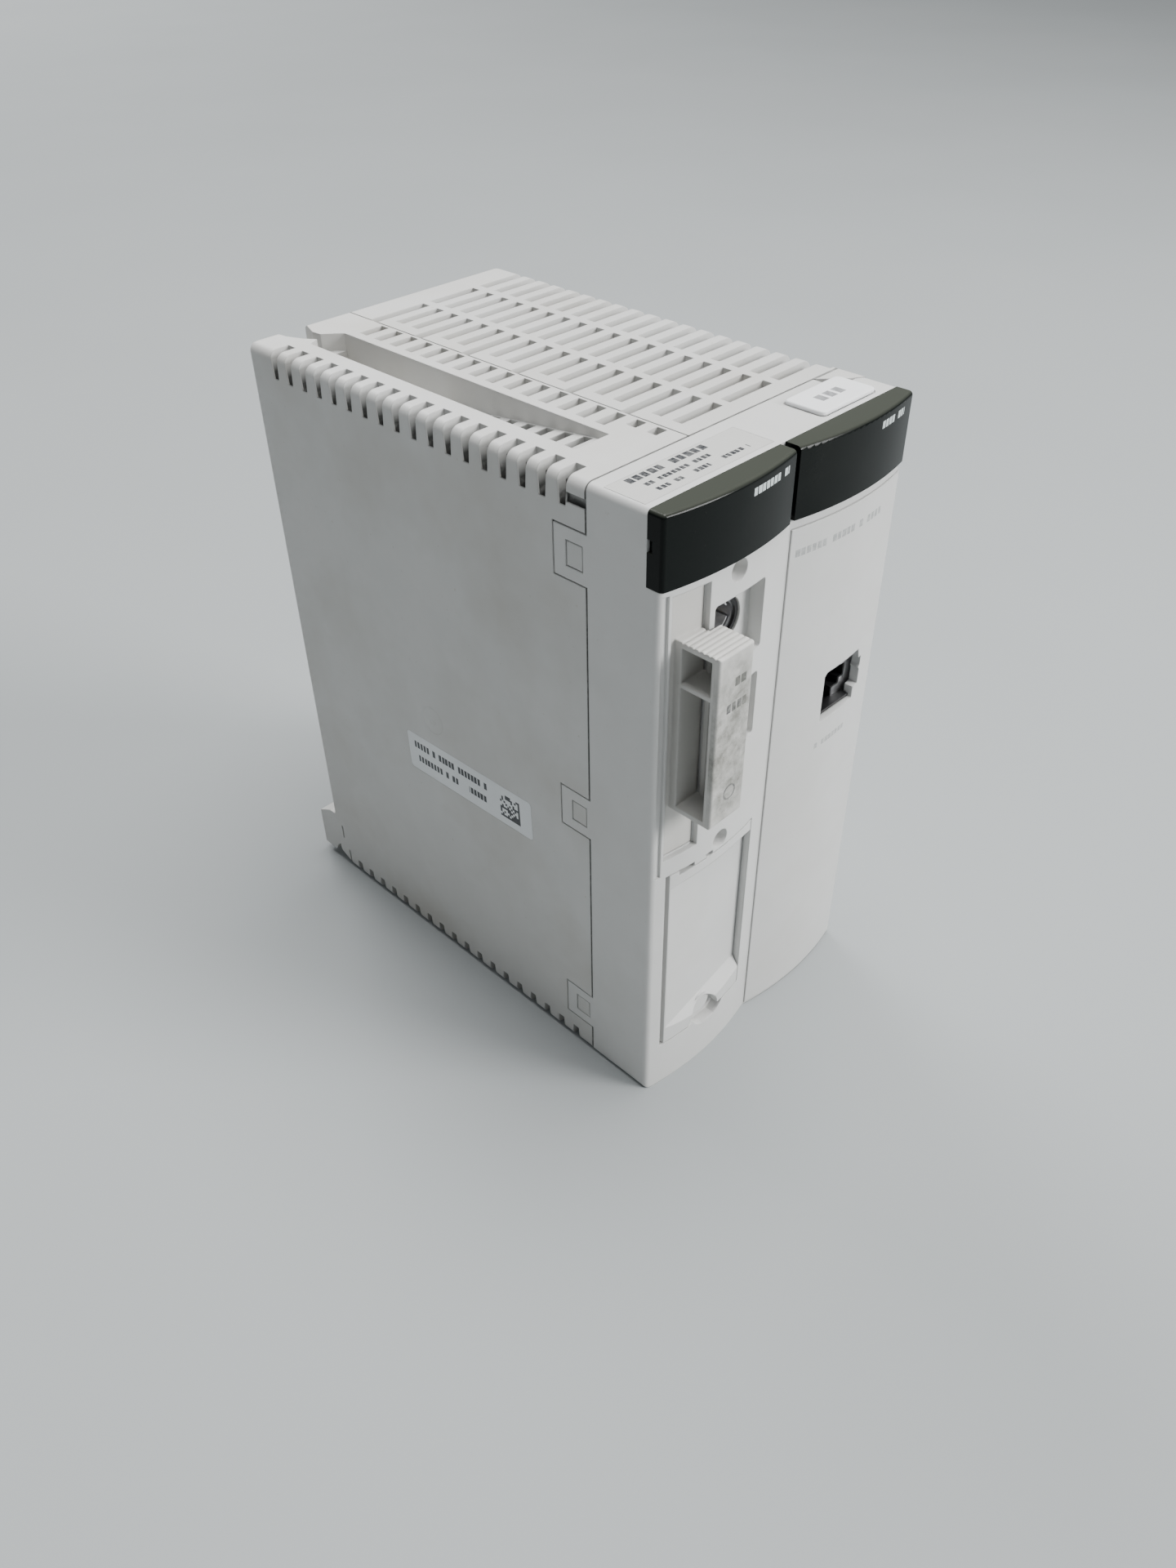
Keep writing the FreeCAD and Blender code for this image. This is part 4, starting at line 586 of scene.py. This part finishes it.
def smokedWindow(name, marks):
    material, tree, shader = newMaterial(name)
    skin = useGroup(tree, "skin", {
        "Base": (*windowLook["base"], 1), "Soil": (*windowLook["soil"], 1),
        "Soil Amount": windowLook["soilAmount"], "Speck Amount": windowLook["specks"],
        "Grain Scale": windowLook["grainScale"], "Roughness": windowLook["roughness"],
        "Soil Height": windowLook["soilHeight"]})
    facing = addNode(tree, "SeparateXYZ")
    tree.links.new(addNode(tree, "NewGeometry").outputs["True Normal"], facing.inputs["Vector"])
    upward = remap(tree, facing.outputs["Z"], windowLook["topFrom"], windowLook["topTo"])
    colour = mixColour(tree, upward, skin.outputs["Color"], (*windowLook["top"], 1))
    for mark in marks:
        along, across = printAxes(tree, mark["axes"])
        printed = useGroup(tree, mark["kind"], {"Along": along, "Across": across, **mark["values"]})
        mask = calc(tree, "MULTIPLY", printed.outputs["Mask"], windowLook["print"])
        colour = mixColour(tree, mask, colour, (*mark["ink"], 1))
    tree.links.new(colour, shader.inputs["Base Color"])
    tree.links.new(skin.outputs["Roughness"], shader.inputs["Roughness"])
    bump = addNode(tree, "Bump", {"Strength": 0.05, "Distance": 0.00002})
    tree.links.new(skin.outputs["Height"], bump.inputs["Height"])
    tree.links.new(bump.outputs["Normal"], shader.inputs["Normal"])
    shader.inputs["Specular IOR Level"].default_value = windowLook["specular"]
    return material


materials = {
    "casing_plastic": plastic("casingPlastic", looks["casing"]),
    "cover_plastic": plastic("coverPlastic", looks["cover"]),
    "card_plastic": plastic("cardPlastic", looks["card"]),
    "smoked_window": smokedWindow("smokedWindowLeft", windowRowsLeft),
    "black_plastic": plastic("blackPlastic", looks["black"]),
    "light_guide": plastic("lightGuide", looks["guide"]),
    "board_green": plastic("boardGreen", looks["board"]),
    "contact_brass": metal("contactBrass", metals["brass"]),
    "tinned_steel": metal("tinnedSteel", metals["tinned"]),
    "zinc_steel": metal("zincSteel", metals["zinc"]),
    "label_white": plastic("labelWhite", looks["labelWhite"], labelMarks),
    "label_clear": plastic("labelClear", looks["labelClear"], topMarks),
    "marker_white": plastic("markerWhite", looks["marker"], markerMarks),
    "blade": metal("bladeSteel", metals["blade"]),
    "chip": plastic("chipBlack", looks["chip"]),
    "ceramic": plastic("ceramicTan", looks["ceramic"]),
    "sleeve": plastic("capacitorSleeve", looks["sleeve"]),
}
# nodes whose print or mould marks are their own
special = {
    "rear_casing_left": plastic("casingPlasticLeft", looks["casing"], casingMarks),
    "rear_casing_right": plastic("casingPlasticRight", looks["casing"],
                                 [{**slotPaintedShade, "values": slotShadeRight}, seamPaintedShade]),
    "front_cover": plastic("coverPlasticFront", looks["cover"], coverMarks),
    "network_panel": plastic("coverPlasticPanel", looks["cover"], panelMarks),
    "card_handle": plastic("cardPlasticGrip", looks["card"], gripMarks),
    "display_window_right": smokedWindow("smokedWindowRight", windowRowsRight),
    "processor_chips": materials["chip"],
    "network_chips": materials["chip"],
}
for row in frame["record"]["subparts"]:
    node = row["node"]
    slots = nodes[node].data.materials
    slots.clear()
    slots.append(special.get(node, materials[row["material_slot"]]))
print("materials on", len(nodes), "nodes")


# a finished piece: faces outwards, with its materials and its body
def makePiece(name, bm, materialList, body):
    mesh = bpy.data.meshes.new(name)
    bmesh.ops.recalc_face_normals(bm, faces=bm.faces)
    bm.to_mesh(mesh)
    bm.free()
    for material in materialList:
        mesh.materials.append(material)
    piece = bpy.data.objects.new(name, mesh)
    bpy.context.scene.collection.objects.link(piece)
    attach(piece, body)
    return piece


def smoothAll(bm, sharpAngle=40):
    for face in bm.faces:
        face.smooth = True
    for edge in bm.edges:
        if len(edge.link_faces) == 2 and edge.calc_face_angle(0) > math.radians(sharpAngle):
            edge.smooth = False


def newFaces(bm, before):
    return [face for face in bm.faces if face not in before]


# a box with bevelled edges, from its two corners
def addBlock(bm, lowCorner, highCorner, bevel=0.0, materialIndex=0):
    before = set(bm.faces)
    lowCorner, highCorner = Vector(lowCorner), Vector(highCorner)
    size = highCorner - lowCorner
    move = Matrix.Translation((lowCorner + highCorner) / 2) @ Matrix.Diagonal((*size, 1))
    made = bmesh.ops.create_cube(bm, size=1.0, matrix=move)
    if bevel:
        edges = {edge for vert in made["verts"] for edge in vert.link_edges}
        bmesh.ops.bevel(bm, geom=list(edges), offset=bevel, segments=1, profile=0.5, affect="EDGES",
                        material=-1)
    for face in newFaces(bm, before):
        face.material_index = materialIndex


# a rod along an axis, with its rims bevelled
def addRod(bm, start, end, radius, segments=16, bevel=0.0, materialIndex=0):
    before = set(bm.faces)
    start, end = Vector(start), Vector(end)
    turn = (end - start).to_track_quat("Z", "Y").to_matrix().to_4x4()
    place = Matrix.Translation((start + end) / 2) @ turn
    made = bmesh.ops.create_cone(bm, cap_ends=True, segments=segments, radius1=radius, radius2=radius,
                                 depth=(end - start).length, matrix=place)
    if bevel:
        # only the end caps have more than four corners
        rims = {edge for vert in made["verts"] for edge in vert.link_edges
                if any(len(face.verts) > 4 for face in edge.link_faces)}
        bmesh.ops.bevel(bm, geom=list(rims), offset=bevel, segments=2, profile=0.5, affect="EDGES",
                        material=-1)
    for face in newFaces(bm, before):
        face.material_index = materialIndex


# a helical ridge or wire: a small ring of vertices spun about Y while it moves along it
def addHelix(bm, axisPoint, radius, wire, pitch, turns, stepsPerTurn=20, sides=6):
    verts = bmesh.ops.create_circle(bm, cap_ends=False, segments=sides, radius=wire)["verts"]
    bmesh.ops.translate(bm, vec=Vector(axisPoint) + Vector((radius, 0, 0)), verts=verts)
    edges = list({edge for vert in verts for edge in vert.link_edges})
    spun = bmesh.ops.spin(bm, geom=verts + edges, cent=axisPoint, axis=(0, 1, 0), angle=turns * 2 * math.pi,
                          steps=int(turns * stepsPerTurn), dvec=(0, pitch / stepsPerTurn, 0),
                          use_merge=False, use_duplicate=False)
    closeEnds(bm, edges, spun)


# closes both ends of a spun tube
def closeEnds(bm, edges, spun):
    last = [item for item in spun["geom_last"] if isinstance(item, bmesh.types.BMEdge)]
    bmesh.ops.edgeloop_fill(bm, edges=last)
    bmesh.ops.edgeloop_fill(bm, edges=edges)


# button springs, wound of round wire just inside their CAD solids
springValues = {"wire": 0.00014, "turns": 5.5, "clear": 0.00005}


def makeSpring(node):
    start, end = low(node), high(node)
    middle = (start + end) / 2
    wire, turns = springValues["wire"], springValues["turns"]
    radius = (end.x - start.x) / 2 - wire - springValues["clear"]
    length = end.y - start.y
    bm = bmesh.new()
    addHelix(bm, (middle.x, start.y + wire, middle.z), radius, wire, (length - 2 * wire) / turns, turns)
    smoothAll(bm, sharpAngle=80)
    spring = makePiece(node + ".coil", bm, [materials["zinc_steel"]], "chassis")
    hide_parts(node)
    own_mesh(spring)


makeSpring("reset_spring")
makeSpring("release_spring")
print("springs wound")

# captive screw with a real thread and a slotted head
screwValues = {"pitch": 0.0007, "head": 0.0050, "threadLength": 0.0050, "core": 0.00165, "slotWidth": 0.0010,
               "slotDepth": 0.0016, "edge": 0.0003, "topShare": 0.98, "topLap": 0.0004, "headSides": 40,
               "point": 0.0014, "pointLength": 0.0005, "headLap": 0.0002, "pointLap": 0.0001, "sides": 24,
               "ridge": 0.0003, "ridgeRadius": 0.00168, "ridgeSides": 4}


# the head is a disc, and on it a second disc whose middle strip is cut away
def addSlottedHead(bm, middle, front, headEnd, radius):
    floor = front + screwValues["slotDepth"]
    sides, edge = screwValues["headSides"], screwValues["edge"]
    addRod(bm, (middle.x, floor, middle.z), (middle.x, headEnd, middle.z), radius, sides, edge)
    before = set(bm.verts)
    addRod(bm, (middle.x, front, middle.z), (middle.x, floor + screwValues["topLap"], middle.z),
           radius * screwValues["topShare"], sides, edge)
    top = [vert for vert in bm.verts if vert not in before]
    geometry = top + list({edge for vert in top for edge in vert.link_edges})
    geometry += list({face for vert in top for face in vert.link_faces})
    half = screwValues["slotWidth"] / 2
    for side in (-1, 1):
        cut = bmesh.ops.bisect_plane(bm, geom=geometry, plane_co=(0, 0, middle.z + side * half),
                                     plane_no=(0, 0, 1))
        geometry = [item for item in cut["geom"] if item.is_valid]
    strip = [item for item in geometry if isinstance(item, bmesh.types.BMFace)
             and abs(item.calc_center_median().z - middle.z) < half * 0.9]
    bmesh.ops.delete(bm, geom=strip, context="FACES")
    bmesh.ops.holes_fill(bm, edges=[edge for edge in bm.edges if len(edge.link_faces) == 1], sides=0)


def makeScrew():
    start, end = low("mounting_screw"), high("mounting_screw")
    middle = (start + end) / 2
    headEnd = start.y + screwValues["head"]
    threadEnd = end.y - screwValues["pointLength"]
    threadStart = threadEnd - screwValues["threadLength"]
    pitch, sides = screwValues["pitch"], screwValues["sides"]
    bm = bmesh.new()
    addSlottedHead(bm, middle, start.y, headEnd, (end.x - start.x) / 2)
    addRod(bm, (middle.x, headEnd - screwValues["headLap"], middle.z), (middle.x, threadEnd, middle.z),
           screwValues["core"], sides)
    addRod(bm, (middle.x, threadEnd - screwValues["pointLap"], middle.z), (middle.x, end.y, middle.z),
           screwValues["point"], sides, screwValues["edge"])
    addHelix(bm, (middle.x, threadStart + pitch / 2, middle.z), screwValues["ridgeRadius"],
             screwValues["ridge"], pitch, (threadEnd - threadStart) / pitch - 1, sides,
             screwValues["ridgeSides"])
    smoothAll(bm, sharpAngle=50)
    screw = makePiece("mounting_screw.threaded", bm, [materials["zinc_steel"]], "mounting_screw")
    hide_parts("mounting_screw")


makeScrew()
print("mounting screw made")

# leads, ceramic parts and capacitors on the right faces of the two upright boards
boardValues = {
    "processor": {"board": "processor_board", "chips": "processor_chips", "seed": 5,
                  "caps": ((8, 118), (22, 118), (-18, 60), (36, 96))},
    "network": {"board": "network_board", "chips": "network_chips", "seed": 9,
                "caps": ((6, 124), (20, 124), (34, 70))},
    "standOff": 0.00005,
}
leadValues = {"pitch": 0.00127, "width": 0.00044, "margin": 0.001, "merge": 0.00002,
              "steps": ((0.0014, 0.0002), (0.0006, 0.0012))}  # how far out and how high: foot, shoulder
smallValues = {"rows": 3, "firstRow": 0.010, "rowPitch": 0.0035, "perRow": 16, "jitter": 0.0004,
               "halfLength": 0.0010, "halfWidth": 0.0006, "height": 0.0008, "edge": 0.0001,
               "kinds": (0, 0, 1)}
capValues = {"radius": 0.0032, "height": 0.0078, "edge": 0.0005, "topRadius": 0.0026, "topHeight": 0.0080,
             "topEdge": 0.0001, "sides": 24}


# the lowest and highest corner of every separate shell in a node
def shellCorners(node):
    work = bmesh.new()
    work.from_mesh(nodes[node].data)
    bmesh.ops.remove_doubles(work, verts=work.verts, dist=leadValues["merge"])
    corners = []
    seen = set()
    for vert in work.verts:
        if vert in seen:
            continue
        seen.add(vert)
        stack = [vert]
        shell = []
        while stack:
            current = stack.pop()
            shell.append(current.co.copy())
            others = {edge.other_vert(current) for edge in current.link_edges} - seen
            seen |= others
            stack.extend(others)
        corners.append((Vector([min(co[i] for co in shell) for i in range(3)]),
                        Vector([max(co[i] for co in shell) for i in range(3)])))
    work.free()
    return corners


# one row of gull-wing leads along both long sides of every chip
def addChipLeads(bm, chipNode, faceX):
    half, margin = leadValues["width"] / 2, leadValues["margin"]
    for chipLow, chipHigh in shellCorners(chipNode):
        run = chipHigh.y - chipLow.y - 2 * margin
        count = int(run / leadValues["pitch"])
        for i in range(count):
            y = chipLow.y + margin + run * (i + 0.5) / count
            for z, out in ((chipLow.z, -1), (chipHigh.z, 1)):
                for reach, height in leadValues["steps"]:
                    outer = z + out * reach
                    addBlock(bm, (faceX, y - half, min(z, outer)), (faceX + height, y + half, max(z, outer)))


# rows of small ceramic parts under the chips' band
def addSmallParts(bm, values, faceX):
    dice = random.Random(values["seed"])
    boardLow, chipLow, chipHigh = low(values["board"]), low(values["chips"]), high(values["chips"])
    halfLength, halfWidth, jitter = smallValues["halfLength"], smallValues["halfWidth"], smallValues["jitter"]
    perRow = smallValues["perRow"]
    for row in range(smallValues["rows"]):
        z = boardLow.z + smallValues["firstRow"] + smallValues["rowPitch"] * row
        for i in range(perRow):
            y = chipLow.y + (chipHigh.y - chipLow.y) * i / perRow + dice.uniform(-jitter, jitter)
            addBlock(bm, (faceX, y - halfLength, z - halfWidth),
                     (faceX + smallValues["height"], y + halfLength, z + halfWidth), smallValues["edge"],
                     dice.choice(smallValues["kinds"]))


# upright capacitors: a sleeved can with a bare metal top
def addCapacitors(bm, places, faceX):
    sides, shoulder, top = capValues["sides"], faceX + capValues["height"], faceX + capValues["topHeight"]
    for y, z in places:
        y, z = y * mm, z * mm
        addRod(bm, (faceX, y, z), (shoulder, y, z), capValues["radius"], sides, capValues["edge"])
        addRod(bm, (shoulder, y, z), (top, y, z), capValues["topRadius"], sides, capValues["topEdge"], 1)
    smoothAll(bm)


def populateBoard(name, values):
    faceX = high(values["board"]).x + boardValues["standOff"]
    bm = bmesh.new()
    addChipLeads(bm, values["chips"], faceX)
    makePiece(name + ".chipLeads", bm, [materials["tinned_steel"]], "chassis")
    bm = bmesh.new()
    addSmallParts(bm, values, faceX)
    makePiece(name + ".smallParts", bm, [materials["ceramic"], materials["chip"]], "chassis")
    bm = bmesh.new()
    addCapacitors(bm, values["caps"], faceX)
    makePiece(name + ".capacitors", bm, [materials["sleeve"], materials["tinned_steel"]], "chassis")


for name in ("processor", "network"):
    populateBoard(name, boardValues[name])
print("boards populated")

# spring tongues of the network jack's shield, inside its mouth
tongueValues = {"thickness": 0.00025, "width": 0.0024, "reach": 0.0062, "fromLeft": 0.0052, "inset": 0.0012,
                "setBack": 0.0002, "edge": 0.00005, "lean": 9}
# black rim of the jack, seen inside the panel's opening
rimValues = {"left": 0.0016, "right": 0.00305, "low": 0.0007, "high": 0.00145, "thickness": 0.0007,
             "forward": 0.0026, "lap": 0.0002, "edge": 0.0001}
jackLow, jackHigh = low("network_jack"), high("network_jack")


def makeJackTongues():
    bm = bmesh.new()
    shieldFront = low("network_jack_shield").y
    root, tip = shieldFront + tongueValues["setBack"], shieldFront + tongueValues["reach"]
    x, half = jackLow.x + tongueValues["fromLeft"], tongueValues["thickness"] / 2
    for z, inward in ((jackLow.z + tongueValues["inset"], 1), (jackHigh.z - tongueValues["inset"], -1)):
        before = set(bm.verts)
        addBlock(bm, (x, root, z - half), (x + tongueValues["width"], tip, z + half), tongueValues["edge"])
        tongue = [vert for vert in bm.verts if vert not in before]
        turn = Matrix.Rotation(math.radians(tongueValues["lean"] * inward), 3, "X")
        bmesh.ops.rotate(bm, cent=(x, root, z), matrix=turn, verts=tongue)
    makePiece("network_jack.tongues", bm, [materials["tinned_steel"]], "chassis")


def makeJackRim():
    bm = bmesh.new()
    left, right = jackLow.x + rimValues["left"], jackHigh.x - rimValues["right"]
    bottom, top = jackLow.z + rimValues["low"], jackHigh.z - rimValues["high"]
    front, back = jackLow.y - rimValues["forward"], jackLow.y + rimValues["lap"]
    thick, edge = rimValues["thickness"], rimValues["edge"]
    addBlock(bm, (left, front, bottom), (right, back, bottom + thick), edge)
    addBlock(bm, (left, front, bottom + thick), (left + thick, back, top), edge)
    addBlock(bm, (left, front, top), (right, back, top + thick / 2), edge)
    makePiece("network_jack.rim", bm, [materials["black_plastic"]], "chassis")


makeJackTongues()
makeJackRim()
print("jack tongues and rim made")

# curved contact blades round the middle of each round socket; arcs are in degrees
bladeValues = {"inner": 0.0029, "outer": 0.0032, "start": 0.0012, "length": 0.0080,
               "arcs": ((20, 150), (200, 330)), "steps": 18}


def makeBlades(node):
    front = low(node).y + bladeValues["start"]
    back = front + bladeValues["length"]
    # the housing reaches over to its board, so the middle in X is the round shield's
    x = (low(node + "_shield").x + high(node + "_shield").x) / 2
    z = (low(node).z + high(node).z) / 2
    inner, outer = bladeValues["inner"], bladeValues["outer"]
    bm = bmesh.new()
    for first, last in bladeValues["arcs"]:
        turn = Matrix.Rotation(math.radians(first), 3, "Y")
        corners = ((inner, front), (outer, front), (outer, back), (inner, back))
        verts = [bm.verts.new(Vector((x, y, z)) + turn @ Vector((radius, 0, 0))) for radius, y in corners]
        edges = [bm.edges.new((verts[i - 1], verts[i])) for i in range(len(verts))]
        spun = bmesh.ops.spin(bm, geom=verts + edges, cent=(x, 0, z), axis=(0, 1, 0),
                              angle=math.radians(last - first), steps=bladeValues["steps"],
                              use_merge=False, use_duplicate=False)
        closeEnds(bm, edges, spun)
    smoothAll(bm)
    makePiece(node + ".blades", bm, [materials["blade"]], "chassis")


for node in ("terminal_socket", "auxiliary_socket"):
    makeBlades(node)
print("socket blades made")


# a wide pale floor
floorLook = {"dark": (0.33, 0.35, 0.355, 1), "light": (0.36, 0.38, 0.385, 1), "toneScale": 6.0,
             "roughness": 0.85, "halfSize": 12}


def makeFloor():
    material, tree, shader = newMaterial("paleFloor")
    place = addNode(tree, "TexCoord").outputs["Object"]
    drift = noise(tree, place, floorLook["toneScale"], detail=3.0, roughness=0.5)
    tone = mixColour(tree, drift, floorLook["dark"], floorLook["light"])
    tree.links.new(tone, shader.inputs["Base Color"])
    shader.inputs["Roughness"].default_value = floorLook["roughness"]
    bm = bmesh.new()
    bmesh.ops.create_grid(bm, x_segments=1, y_segments=1, size=floorLook["halfSize"])
    mesh = bpy.data.meshes.new("floor")
    bm.to_mesh(mesh)
    bm.free()
    mesh.materials.append(material)
    floor = bpy.data.objects.new("floor", mesh)
    bpy.context.scene.collection.objects.link(floor)


def softLamp(name, values):
    data = bpy.data.lights.new(name, "AREA")
    data.shape = "DISK"
    data.size = values["size"]
    data.energy = values["power"]
    data.color = values["colour"]
    lamp = bpy.data.objects.new(name, data)
    lamp.location = values["place"]
    aim = Vector(values["aim"]) - Vector(values["place"])
    lamp.rotation_euler = aim.to_track_quat("-Z", "Y").to_euler()
    bpy.context.scene.collection.objects.link(lamp)


studio = {
    "topLamp": {"place": (0.20, -0.10, 1.3), "size": 0.9, "power": 22.0, "colour": (1.0, 1.0, 1.0),
                "aim": (0, 0, 0.08)},
    "frontLamp": {"place": (0.75, -1.35, 0.75), "size": 0.7, "power": 34.0, "colour": (1.0, 1.0, 1.0),
                  "aim": (0, 0, 0.08)},
    "floorLamp": {"place": (0.6, 2.4, 2.2), "size": 2.0, "power": 110.0, "colour": (1.0, 1.0, 1.0),
                  "aim": (-0.3, 2.8, 0)},
    "worldColour": (0.93, 0.97, 1.0, 1), "worldStrength": 0.25,
}
makeFloor()
for lampName in ("topLamp", "frontLamp", "floorLamp"):
    softLamp(lampName, studio[lampName])
world = bpy.data.worlds.new("studio")
world.use_nodes = True
world.node_tree.nodes["Background"].inputs["Color"].default_value = studio["worldColour"]
world.node_tree.nodes["Background"].inputs["Strength"].default_value = studio["worldStrength"]
bpy.context.scene.world = world

# where the camera stands, in degrees and metres
cameraValues = {
    "azimuth": -45.10, "elevation": 38.91, "roll": -0.86, "place": (-0.17633, -0.17957, 0.24339),
    "lens": 28.26, "sensor": 36.0,
}


def makeCamera(values):
    data = bpy.data.cameras.new("camera")
    data.sensor_width = values["sensor"]
    data.lens = values["lens"]
    data.clip_start = 0.01
    camera = bpy.data.objects.new("camera", data)
    azimuth, elevation = math.radians(values["azimuth"]), math.radians(values["elevation"])
    back = Vector((math.sin(azimuth) * math.cos(elevation), -math.cos(azimuth) * math.cos(elevation),
                   math.sin(elevation)))
    right = Vector((0, 0, 1)).cross(back).normalized()
    up = back.cross(right)
    turn = Matrix((right, up, back)).transposed() @ Matrix.Rotation(math.radians(values["roll"]), 3, "Z")
    camera.matrix_world = Matrix.Translation(values["place"]) @ turn.to_4x4()
    bpy.context.scene.collection.objects.link(camera)
    bpy.context.scene.camera = camera


makeCamera(cameraValues)
print("studio set")
